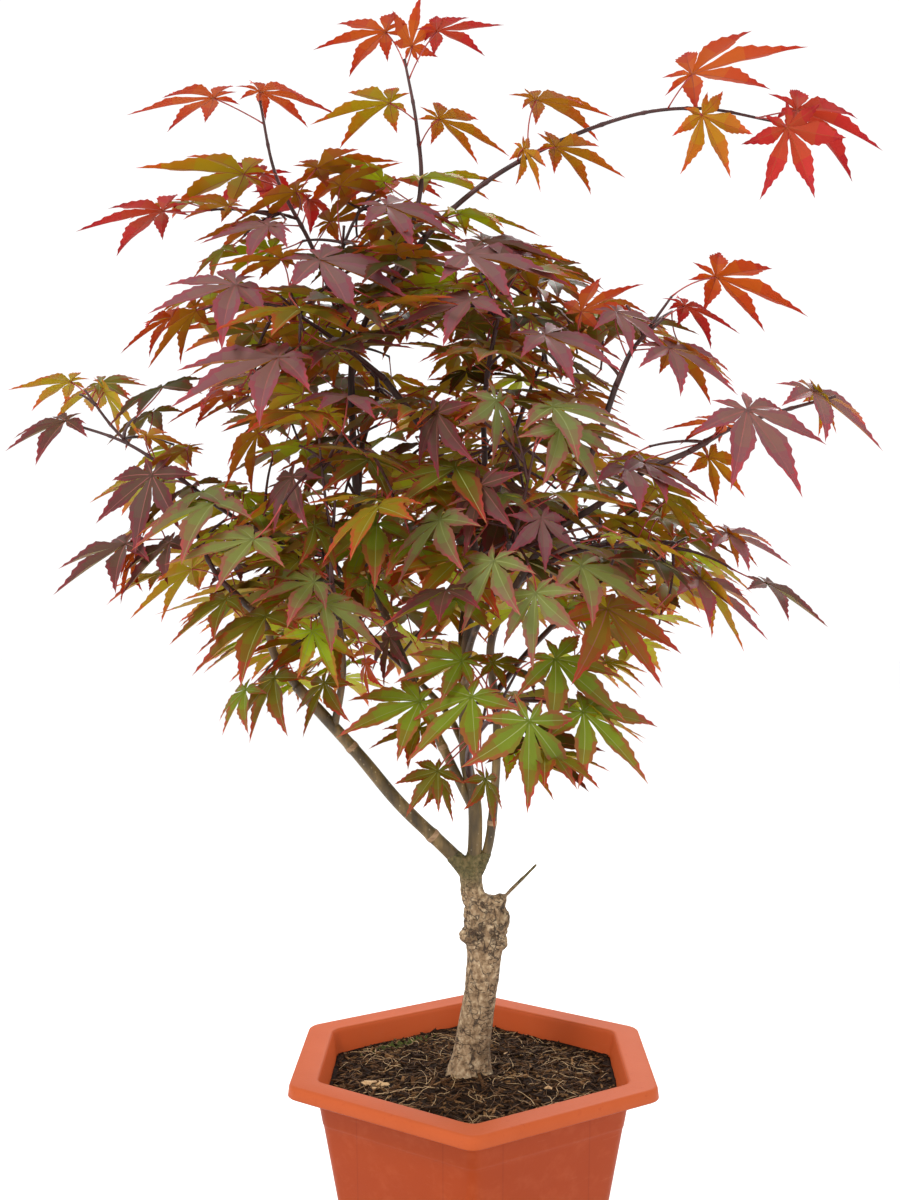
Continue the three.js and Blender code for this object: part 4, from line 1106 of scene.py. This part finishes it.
def mass_pieces(name, seed):
    """A mass's leaves as one piece, and its stem, twigs and stalks as another."""
    draw = random.Random(seed)
    blades = Skin()
    for leaf in growth[name]["leaves"]:
        tint = leaf.get("tint") or resting_tint(leaf, draw)
        place_leaf(blades, leaf, tint_orders[tint], draw)
    leaves = blades.piece(f"leaves_{name}", leaf_materials)
    leaves.data.set_sharp_from_angle(angle=sharp_edge)
    wood = Skin()
    for line, radii in growth[name]["twigs"]:
        sides = 8 if radii is stem_radii else 6
        sweep(wood, line, swelling(line, radii), sides, 3.0, 0)
    for line in growth[name]["stalks"]:
        sweep(wood, line, stalk_thickness, 5, 7.0, 1)
    twigs = wood.piece(f"twigs_{name}", [twig_bark, stalk_red])
    for piece in (leaves, twigs):
        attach(piece, "root")
        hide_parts(f"foliage_{name}")


for number, mass_name in enumerate(masses):
    mass_pieces(mass_name, tint_seed + number)

# ------------------------------------------------------------------ trunk and boughs


graft_middle = 366
wine_stops = ((0.3, rgb(36, 17, 15)), (0.55, rgb(64, 34, 29)), (0.75, rgb(98, 62, 48)))


def grey_bark():
    """Grey-tan bark with dark cracks, which turns olive where the boughs leave the trunk."""
    finish = Finish("grey_bark")
    flecks = finish.grain(240, 6, (1, 1, 0.8), 0.62)
    patches = finish.grain(34, 4, roughness=0.6)
    colour = finish.ramp(flecks, (0.32, rgb(92, 68, 46)), (0.44, rgb(134, 108, 78)),
                         (0.56, rgb(164, 138, 106)), (0.7, rgb(206, 184, 150)))
    colour = finish.mix(finish.mask(patches, 0.47, 0.68) * 0.6, colour, rgb(106, 84, 58))
    height = finish.place_along("Z")
    from_graft = height - graft_middle * MM
    graft = 1 - finish.mask(from_graft * from_graft, 0.0002, 0.0007)
    cracks = finish.cracks(85, (1, 1, 2.4), 0.0007) + finish.cracks(70, (1, 1, 0.5), 0.0004)
    cracks = cracks + finish.cracks(120, (1, 1, 0.8), 0.0022) * graft
    cracks = finish.mask(cracks, 0.0, 1.0)
    colour = finish.mix(cracks * 0.8, colour, rgb(40, 26, 18))
    green = finish.ramp(flecks, (0.3, rgb(58, 52, 28)), (0.5, rgb(94, 84, 48)),
                        (0.7, rgb(128, 108, 72)))
    colour = finish.mix(finish.mask(height + patches * 0.012, 0.396, 0.412), colour, green)
    crust = flecks * 0.7 + finish.grain(420, 4, (1, 1, 1.6)) * 0.4 - cracks * 0.8
    return finish.solid(colour, 0.84, crust, 0.9, 0.0012)


def olive_bark():
    """Olive-brown bark, which turns wine red as the boughs run up into the crown."""
    finish = Finish("olive_bark")
    streaks = finish.grain(90, 5, (1, 1, 0.22))
    colour = finish.ramp(streaks, (0.3, rgb(44, 33, 14)), (0.5, rgb(90, 71, 36)),
                         (0.72, rgb(148, 119, 70)))
    height = finish.place_along("Z")
    colour = finish.mix(finish.mask(height + streaks * 0.05, 0.54, 0.7), colour,
                        finish.ramp(streaks, *wine_stops))
    dots = finish.cells(230, (1, 1, 0.7))
    colour = finish.mix((1 - finish.mask(dots, 0.05, 0.18)) * 0.6, colour, rgb(176, 156, 124))
    return finish.solid(colour, 0.55, streaks + dots * 0.3, 0.45, 0.0008)


def wine_bark():
    """Smooth wine-red bark, as on the thin boughs inside the crown."""
    finish = Finish("wine_bark")
    streaks = finish.grain(110, 5, (1, 1, 0.22))
    return finish.solid(finish.ramp(streaks, *wine_stops), 0.5, streaks, 0.4, 0.0006)


bark_grey = grey_bark()
bark_olive = olive_bark()
bark_wine = wine_bark()
node_band = plain_finish("node_band", rgb(122, 92, 64), rgb(168, 136, 102), 150, 0.7, (1, 1, 3))

# Distances along the limbs at which pale ring scars show.
ring_scars = {"bough_left": (46, 150), "right_stem": (48,), "leader": (60, 128)}
scar_half = 2.8
limb_sides = 16
# A limb whose foot is thicker than this radius has olive bark, and the others have wine-red bark.
olive_from = 3.1


def limb_piece(name):
    radii = limbs[name].radii
    line = limb_lines[name]
    scars = ring_scars.get(name, ())

    def radius_at(distance):
        radius = tapering(radii, line, distance)
        for scar in scars:
            radius *= 1 + 0.13 * math.exp(-((distance - scar) / scar_half) ** 2)
        place = line.at(distance) * 0.03
        return radius * (1 + 0.05 * noise.noise(place.tolist()))

    skin = Skin()
    sweep(skin, line, radius_at, limb_sides, 2.2, 0)
    rings = len(skin.blocks[0]) // limb_sides
    spacing = line.length / (rings - 1)
    for index in range((rings - 1) * limb_sides):
        distance = (index // limb_sides + 0.5) * spacing
        if any(abs(distance - scar) < scar_half * 0.7 for scar in scars):
            skin.numbers[index] = 1
    bark = bark_olive if radii[0] > olive_from else bark_wine
    piece = skin.piece(f"bark_{name}", [bark, node_band])
    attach(piece, "root")
    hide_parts(name)


for limb_name in limbs:
    limb_piece(limb_name)

# Height, sideways place and radius of the trunk's middle line.
trunk_line = [(232, -5.5, 21.5), (236, -5, 20), (244, -3.5, 17.4), (256, -1, 15.6), (274, 2, 14.6),
              (300, 6, 14), (322, 8.5, 14.2), (338, 10, 14.8), (346, 10, 16.6), (352, 10, 17),
              (366, 8, 16), (380, 4, 12.5), (392, -1, 10.2), (404, -2, 9.6), (412, -1, 8.4)]
graft_lumps = [((12, 0, 362), (18.5, 17, 17)), ((15, -2, 376), (14, 12, 13)),
               ((-1, -3, 354), (11.5, 12, 9)), ((22, -5, 349), (8, 8, 8)), ((6, -11, 362), (9, 7, 9)),
               ((23, -2, 384), (6, 7, 6)), ((10, -6, 386), (6, 6, 5)), ((26, -3, 368), (6, 8, 9))]
graft_rings = (346, 356, 366, 375)
dead_twig = [(20, -1, 380), (31, -2, 391), (54, -3, 414.5)]


def lump(skin, middle, size):
    """A closed egg shape with the given reach along each axis."""
    turns = 20
    levels = 12
    vertices = []
    for level in range(levels):
        tilt = math.pi * (level + 0.5) / levels
        for turn in range(turns):
            angle = 2 * math.pi * turn / turns
            vertices.append((middle[0] + size[0] * math.sin(tilt) * math.cos(angle),
                             middle[1] + size[1] * math.sin(tilt) * math.sin(angle),
                             middle[2] - size[2] * math.cos(tilt)))
    skin.add(np.array(vertices), ring_faces(levels, turns), 0)


def trunk_relief(place):
    """How far the bark stands out, in mm, at a place given in mm."""
    x, y, z = place
    level = noise.noise((x * 0.06, y * 0.06, z * 0.08)) * 0.7
    fine = noise.noise((x * 0.22, y * 0.22, z * 0.34)) * 0.4
    swell = noise.noise((x * 0.035, y * 0.035, z * 0.03)) * 1.1
    graft = math.exp(-((z - graft_middle) / 19) ** 2)
    knobs = noise.noise((x * 0.14, y * 0.14, z * 0.1)) * 2.2 * graft
    clefts = -2.4 * graft * math.exp(-(noise.noise((x * 0.12 + 5, y * 0.12, z * 0.09)) / 0.06) ** 2)
    creases = sum(-1.3 * math.exp(-((z + 1.8 * math.sin(x * 0.17) - ring) / 1.4) ** 2)
                  for ring in graft_rings)
    return level + fine + swell + knobs + clefts + creases * (0.1 + 0.9 * graft)


def trunk_piece():
    """The trunk, its graft lumps, the dead twig and the limbs' feet, made one and given relief."""
    skin = Skin()
    heights, sideways, radii = (np.array(side, float) for side in zip(*trunk_line))
    sides = 40
    rings = 60
    vertices = []
    for z in np.linspace(heights[0], heights[-1], rings):
        x = np.interp(z, heights, sideways)
        radius = np.interp(z, heights, radii)
        for side in range(sides):
            angle = 2 * math.pi * side / sides
            flare = 1 + 0.13 * max(0.0, (262 - z) / 30) * math.cos(3 * angle + 0.6)
            vertices.append((x + radius * flare * math.cos(angle),
                             radius * flare * math.sin(angle), z))
    skin.add(np.array(vertices), ring_faces(rings, sides), 0)
    for middle, size in graft_lumps:
        lump(skin, middle, size)
    dead = smooth_line(dead_twig)
    sweep(skin, dead, lambda distance: 2.0 - 0.7 * distance / dead.length, 10, 3, 0)
    for name in forking_limbs:
        radius = limbs[name].radii[0]
        foot = Line([limb_lines[name].at(distance) for distance in np.linspace(0, 22, 8)])
        sweep(skin, foot, lambda distance: radius + 0.9 - distance * 0.045, limb_sides, 3, 0)
    piece = skin.piece("bark_trunk", [bark_grey])
    remesh = piece.modifiers.new("one_skin", "REMESH")
    remesh.mode = "VOXEL"
    remesh.voxel_size = 1.15 * MM
    remesh.use_smooth_shade = True
    bpy.context.view_layer.update()
    graph = bpy.context.evaluated_depsgraph_get()
    whole = bpy.data.meshes.new_from_object(piece.evaluated_get(graph))
    piece.modifiers.clear()
    piece.data = whole
    whole.update()
    for vertex in whole.vertices:
        place = vertex.co / MM
        away = min(1.0, max(0.0, (place.z - 233) / 6))
        thin = 0.25 if place.x > 30 else 1.0
        vertex.co = (place + vertex.normal * trunk_relief(place) * away * thin) * MM
    smooth = piece.modifiers.new("soften", "SMOOTH")
    smooth.factor = 0.4
    smooth.iterations = 1
    whole.polygons.foreach_set("use_smooth", [True] * len(whole.polygons))
    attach(piece, "root")
    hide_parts("trunk")


trunk_piece()

# ------------------------------------------------------------------ pot


corner_steps = 7
side_steps = 14


def pot_ring(reach, z, corner=9.0):
    """A six-sided ring with rounded corners, its flat sides at the given reach."""
    scale = reach / pot_side_reach
    corners = [np.array(c) * scale for c in (
        (0, -pot_apex_reach), (pot_side_reach, -pot_corner_reach),
        (pot_side_reach, pot_corner_reach), (0, pot_apex_reach),
        (-pot_side_reach, pot_corner_reach), (-pot_side_reach, -pot_corner_reach))]
    places = []
    for index, middle in enumerate(corners):
        next_corner = corners[(index + 1) % 6]
        start = middle + unit(corners[index - 1] - middle) * corner * scale
        end = middle + unit(next_corner - middle) * corner * scale
        for share in np.linspace(0, 1, corner_steps):
            place = (start * (1 - share) ** 2 + 2 * middle * share * (1 - share) + end * share ** 2)
            places.append((*place, z))
        following = next_corner + unit(middle - next_corner) * corner * scale
        for share in np.linspace(0, 1, side_steps)[1:-1]:
            places.append((*(end * (1 - share) + following * share), z))
    return places


def outer_reach(z):
    """How far the pot's tapering wall stands out at a height."""
    return pot_base_reach + (pot_side_reach - pot_ledge - pot_base_reach) / pot_height * z


# How far to each side of the middle the painted shade lines at the panels' edges run, in metres.
pot_panel_shade_lines = (0.023, 0.093)


def pot_finish(name, low, high, panel_shade_lines=()):
    """Moulded plastic with a little dust, faint scuffs and fine upright lines of painted panel shade."""
    finish = Finish(name)
    cloud = finish.grain(9, 4)
    colour = finish.mix(cloud, low, high)
    side = finish.place_along("X")
    # Painted shade: a faint dark upright line where each raised panel's edge would be.
    for reach in panel_shade_lines:
        off = side * side / reach - reach
        colour = finish.mix((1 - finish.mask(off * off, 0.0, 2e-6)) * 0.3, colour, rgb(112, 36, 8))
    dust = finish.mask(finish.grain(60, 6, roughness=0.7), 0.5, 0.78)
    colour = finish.mix(dust * 0.22, colour, rgb(188, 96, 60))
    scuffs = finish.mask(finish.grain(40, 5, (1, 1, 9), 0.7), 0.62, 0.76)
    colour = finish.mix(scuffs * 0.18, colour, rgb(200, 124, 92))
    height = finish.grain(600, 3) * 0.5 + finish.grain(30, 2) * 0.7
    roughness = finish.mask(cloud, 0.0, 1.0) * 0.16 + 0.4
    return finish.solid(colour, roughness, height, 0.22, 0.0007, Specular_IOR_Level=0.14)


def rim_finish():
    """The same plastic, paler as a painted highlight along the rim, and specked."""
    finish = Finish("rim_painted_highlight")
    cloud = finish.grain(14, 5)
    # The paler tones are a painted highlight: a lit copy of the pot's plastic.
    colour = finish.mix(cloud, rgb(168, 74, 34), rgb(184, 88, 48))
    specks = finish.mask(finish.grain(180, 5, roughness=0.7), 0.6, 0.72)
    colour = finish.mix(specks * 0.5, colour, rgb(150, 58, 32))
    return finish.solid(colour, 0.5, finish.grain(500, 3), 0.2, 0.0006, Specular_IOR_Level=0.1)


panel_steps = 24


def pot_piece():
    """The pot as one closed wall, from under its foot over the rim and down inside."""
    top = pot_height
    skirt = pot_height - rim_skirt
    step = top - band_depth
    rim = pot_side_reach - rim_flare
    inner_top = outer_reach(top) - pot_wall
    outside = [(outer_reach(0) - 1.5, 0), (outer_reach(1) - 0.3, 0.6), (outer_reach(3), 3)]
    outside += [(outer_reach(z), z) for z in np.linspace(8, step - 3, panel_steps)]
    outside += [(outer_reach(step), step - 0.4), (outer_reach(step) + 0.2, step),
                (outer_reach(step) + 0.5, step + 0.4), (outer_reach(step + 2) + 0.5, step + 2),
                (outer_reach(skirt - 5) + 0.5, skirt - 5), (outer_reach(skirt - 3) + 0.5, skirt - 3),
                (outer_reach(skirt) + 0.5, skirt - 0.1), (outer_reach(skirt) + 1.4, skirt + 0.6),
                (pot_side_reach - 2.4, skirt + 0.3), (pot_side_reach - 0.8, skirt + 0.5),
                (pot_side_reach, skirt + 1.4)]
    lip = [(rim + 0.3, top - 2.4), (rim - 0.2, top - 1.0), (rim - 1.2, top - 0.2), (rim - 2.6, top),
           (inner_top + 2.4, top), (inner_top + 0.9, top - 0.3), (inner_top, top - 1.3)]
    inside = [(outer_reach(z) - pot_wall, z) for z in (top - 4, soil_edge, 150, 60, pot_floor + 1)]
    inside += [(outer_reach(pot_floor) - pot_wall - 2, pot_floor)]
    rings = outside + lip + inside
    vertices = [place for reach, z in rings for place in pot_ring(reach, z)]
    sides = len(pot_ring(1, 0))
    numbers = []
    for index in range(len(rings) - 1):
        in_front = index < len(outside) - 1
        on_lip = not in_front and index < len(outside) + len(lip) - 1
        numbers += [0 if in_front else 1 if on_lip else 2] * sides
    faces = ring_faces(len(rings), sides)
    skin = Skin()
    skin.add(np.array(vertices), faces, numbers + [0, 0])
    body = pot_finish("terracotta_plastic", rgb(142, 50, 9), rgb(156, 61, 16), pot_panel_shade_lines)
    # The inside wall is a lighter copy of the same plastic: painted light on the shaded inside.
    lit_inside_walls = pot_finish("terracotta_inside_lit", rgb(188, 80, 36), rgb(202, 92, 46))
    piece = skin.piece("moulded_pot", [body, rim_finish(), lit_inside_walls])
    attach(piece, "root")
    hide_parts("pot")


pot_piece()

# ------------------------------------------------------------------ soil

soil_reach = outer_reach(soil_edge) - pot_wall - 0.4


def soil_height(x, y):
    """The compost's surface, in mm: a low mound with crumbs and hollows."""
    rise = max(0.0, 1 - math.hypot(x + 4, y) / 118)
    base = soil_edge + (soil_mound - soil_edge) * min(1.0, rise * 1.35) + 3.5 * max(0.0, y / 130)
    crumbs = (noise.noise((x * 0.09, y * 0.09, 3.1)) * 1.7 + noise.noise((x * 0.22, y * 0.22, 7.7)) * 1.2
              + noise.noise((x * 0.55, y * 0.55, 1.3)) * 0.8)
    return base + crumbs


def soil_finish(name, dark, brown, light):
    """Rough crumbs in three tones."""
    finish = Finish(name)
    crumbs = finish.grain(300, 6, roughness=0.7)
    colour = finish.ramp(crumbs, (0.3, dark), (0.52, brown), (0.72, light))
    blotches = finish.mix(finish.mask(finish.cells(300), 0.1, 0.5), brown, dark)
    colour = finish.mix(0.25, colour, blotches)
    height = crumbs + finish.cells(420) * 0.6
    return finish.solid(colour, 0.92, height, 0.9, 0.0012, Specular_IOR_Level=0.12)


compost = soil_finish("compost", rgb(12, 7, 4), rgb(36, 22, 13), rgb(80, 54, 33))
chip_dark = soil_finish("chip_dark", rgb(18, 10, 6), rgb(46, 29, 17), rgb(84, 58, 35))
chip_brown = soil_finish("chip_brown", rgb(42, 26, 14), rgb(80, 53, 30), rgb(120, 86, 54))
chip_tan = soil_finish("chip_tan", rgb(86, 60, 36), rgb(124, 91, 58), rgb(164, 128, 88))
fibre_pale = plain_finish("fibre_pale", rgb(140, 108, 70), rgb(196, 164, 120), 200, 0.7)
fibre_brown = plain_finish("fibre_brown", rgb(72, 48, 28), rgb(116, 84, 52), 200, 0.8)
moss = plain_finish("moss", rgb(48, 58, 18), rgb(96, 104, 38), 400, 0.9)
dry_leaf = plain_finish("dry_leaf", rgb(146, 110, 72), rgb(192, 158, 114), 220, 0.8)


def inside_soil(x, y, margin):
    reach = soil_reach - margin
    slope = (pot_apex_reach - pot_corner_reach) / pot_side_reach
    apex = pot_apex_reach * reach / pot_side_reach
    return abs(x) < reach and abs(y) < apex - slope * abs(x)


trunk_room = 19


def near_trunk(x, y, room):
    return math.hypot(x + 5, y) < room


def soil_piece():
    skin = Skin()
    shares = [1.0, 0.985, *np.linspace(0.965, 0.02, 66)]
    rings = [pot_ring(soil_reach * 0.9, soil_edge - 60)]
    for share in shares:
        ring = pot_ring(soil_reach * share, 0, 9.0 + 6 * (1 - share))
        rings.append([(x, y, soil_height(x, y)) for x, y, z in ring])
    sides = len(rings[0])
    skin.add(np.array([place for ring in rings for place in ring]), ring_faces(len(rings), sides), 0)
    piece = skin.piece("compost_bed", [compost])
    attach(piece, "root")
    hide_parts("soil")


def somewhere(draw, margin):
    """A chance place on the compost, clear of the trunk and of the pot's wall."""
    while True:
        x = draw.uniform(-1, 1) * soil_reach
        y = draw.uniform(-1, 1) * soil_reach * 1.17
        if inside_soil(x, y, margin) and not near_trunk(x, y, trunk_room):
            return x, y


block_corners = np.array([(a, b, c) for c in (-1, 1)
                          for a, b in ((-1, -1), (1, -1), (1, 1), (-1, 1))], float)
block_faces = [(0, 3, 2, 1), (4, 5, 6, 7), (0, 1, 5, 4), (1, 2, 6, 5), (2, 3, 7, 6), (3, 0, 4, 7)]


def chips_piece(count, seed):
    """Bark chips and crumbs: small uneven blocks pressed into the surface."""
    draw = random.Random(seed)
    skin = Skin()
    for index in range(count):
        size = draw.uniform(0.7, 1.4) if index % 8 else draw.uniform(1.4, 2.4)
        spread = np.array([size * draw.uniform(1.6, 4.4), size * draw.uniform(0.4, 0.8),
                           size * draw.uniform(0.3, 0.6)])
        x, y = somewhere(draw, spread[0] * 1.1)
        uneven = [[draw.uniform(0.6, 1.1) for _ in range(3)] for _ in range(8)]
        corners = block_corners * (spread * np.array(uneven))
        turn = draw.gauss(0, 0.8)
        tip = draw.uniform(-0.5, 0.5)
        across, along = math.cos(turn), math.sin(turn)
        corners[:, 2] += corners[:, 0] * tip
        corners = corners @ np.array([(across, along, 0), (-along, across, 0), (0, 0, 1)])
        corners += (x, y, soil_height(x, y) + spread[2] * 0.55)
        skin.add(corners, block_faces, draw.choice((0, 0, 0, 0, 0, 1, 1, 1, 2)))
    return skin.piece("bark_chips", [chip_dark, chip_brown, chip_tan], smooth=False)


def fibres_piece(count, seed):
    """Thin curved root fibres that lie over the crumbs and dip between them."""
    draw = random.Random(seed)
    skin = Skin()
    for index in range(count):
        x, y = somewhere(draw, 10)
        turn = draw.uniform(0, 6.3)
        bend = draw.uniform(-0.11, 0.11)
        thick = draw.uniform(0.16, 0.36)
        places = []
        for step in range(draw.randint(7, 18)):
            if not inside_soil(x, y, 4) or near_trunk(x, y, trunk_room - 1):
                break
            lift = 0.7 + 1.3 * abs(math.sin(step * draw.uniform(0.3, 0.5)))
            places.append((x, y, soil_height(x, y) + lift))
            x += 2.6 * math.cos(turn)
            y += 2.6 * math.sin(turn)
            bend += draw.uniform(-0.05, 0.05)
            turn += bend
        if len(places) > 3:
            sweep(skin, Line(places), lambda distance: thick, 4, 2.6, 0 if index % 5 < 2 else 1)
    return skin.piece("root_fibres", [fibre_pale, fibre_brown])


def moss_piece(seed):
    """Small tufts of moss along the compost's edge at the back left."""
    draw = random.Random(seed)
    skin = Skin()
    for _ in range(260):
        along = draw.gauss(0, 14)
        inwards = abs(draw.gauss(0, 5))
        x, y = -64 + 0.83 * along + 0.56 * inwards, 86 + 0.56 * along - 0.83 * inwards
        if not inside_soil(x, y, 3):
            continue
        z = soil_height(x, y)
        size = draw.uniform(0.8, 2.0)
        tuft = [(x + size * math.cos(a), y + size * math.sin(a), z + 0.2) for a in (0, 2.1, 4.2)]
        tuft.append((x + draw.uniform(-0.6, 0.6), y + draw.uniform(-0.6, 0.6),
                     z + size * draw.uniform(0.8, 1.7)))
        skin.add(np.array(tuft), [(0, 2, 1), (0, 1, 3), (1, 2, 3), (2, 0, 3)], 0)
    return skin.piece("moss_tuft", [moss], smooth=False)


# Where each dry flake lies, and its size, in mm.
dry_flakes = ((-88, -20, 6.5), (-76, -24, 5.5), (-82, -32, 3.5), (62, -34, 3.5), (30, 40, 3))
flake_corners = 9


def flakes_piece(seed):
    """A few pale dry flakes that lie on the compost."""
    draw = random.Random(seed)
    skin = Skin()
    for x, y, size in dry_flakes:
        angles = np.arange(flake_corners) * 2 * math.pi / flake_corners
        out = size * np.array([draw.uniform(0.45, 1.1) for _ in angles])
        rim = np.stack([x + out * np.cos(angles) * 1.2, y + out * np.sin(angles),
                        [soil_height(x, y) + draw.uniform(0.8, 3.6) for _ in angles]], axis=1)
        skin.add(np.concatenate([rim, rim + (0, 0, 0.5)]), ring_faces(2, flake_corners), 0)
    return skin.piece("dry_flakes", [dry_leaf], smooth=False)


soil_piece()
for piece in (chips_piece(4200, 21), fibres_piece(380, 22), moss_piece(23), flakes_piece(24)):
    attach(piece, "root")

# ------------------------------------------------------------------ floor, light and camera


def floor_finish():
    finish = Finish("pale_floor")
    return finish.surface(finish.node("ShaderNodeBsdfPrincipled", Base_Color=(0.96, 0.96, 0.955),
                                      Roughness=0.9, Specular_IOR_Level=0.1))


floor_mesh = bpy.data.meshes.new("floor")
floor_mesh.from_pydata([(-9, -9, 0), (9, -9, 0), (9, 9, 0), (-9, 9, 0)], [], [(0, 1, 2, 3)])
floor_mesh.materials.append(floor_finish())
floor = bpy.data.objects.new("floor", floor_mesh)
bpy.context.scene.collection.objects.link(floor)

world = bpy.data.worlds.new("studio")
bpy.context.scene.world = world
world.use_nodes = True
world.node_tree.nodes["Background"].inputs["Color"].default_value = (1, 1, 1, 1)
world.node_tree.nodes["Background"].inputs["Strength"].default_value = 1.06


def soft_light(name, place, aim, size, watts):
    """A round soft lamp at a place, turned towards what it is aimed at."""
    data = bpy.data.lights.new(name, "AREA")
    data.shape = "DISK"
    data.size = size
    data.energy = watts
    lamp = bpy.data.objects.new(name, data)
    bpy.context.scene.collection.objects.link(lamp)
    way = unit(np.array(aim, float) - np.array(place, float))
    lamp.location = place
    lamp.rotation_euler = Vector(way).to_track_quat("-Z", "Y").to_euler()


soft_light("key", (-1.3, -1.5, 2.3), (0, 0, 0.6), 0.9, 36)
soft_light("fill", (1.6, -1.3, 1.1), (0, 0, 0.6), 1.4, 5)
soft_light("back", (0.4, 1.8, 2.2), (0, 0, 0.75), 1.3, 44)

camera_data = bpy.data.cameras.new("camera")
camera_data.sensor_fit = "VERTICAL"
camera_data.sensor_height = 36.0
camera_data.lens = focal_pixels / frame_height * camera_data.sensor_height
camera = bpy.data.objects.new("camera", camera_data)
bpy.context.scene.collection.objects.link(camera)
camera.location = (lens_point * MM).tolist()
camera.rotation_euler = (math.pi / 2 + view_pitch, 0.0, -view_yaw)
bpy.context.scene.camera = camera
bpy.context.scene.view_settings.view_transform = "Standard"
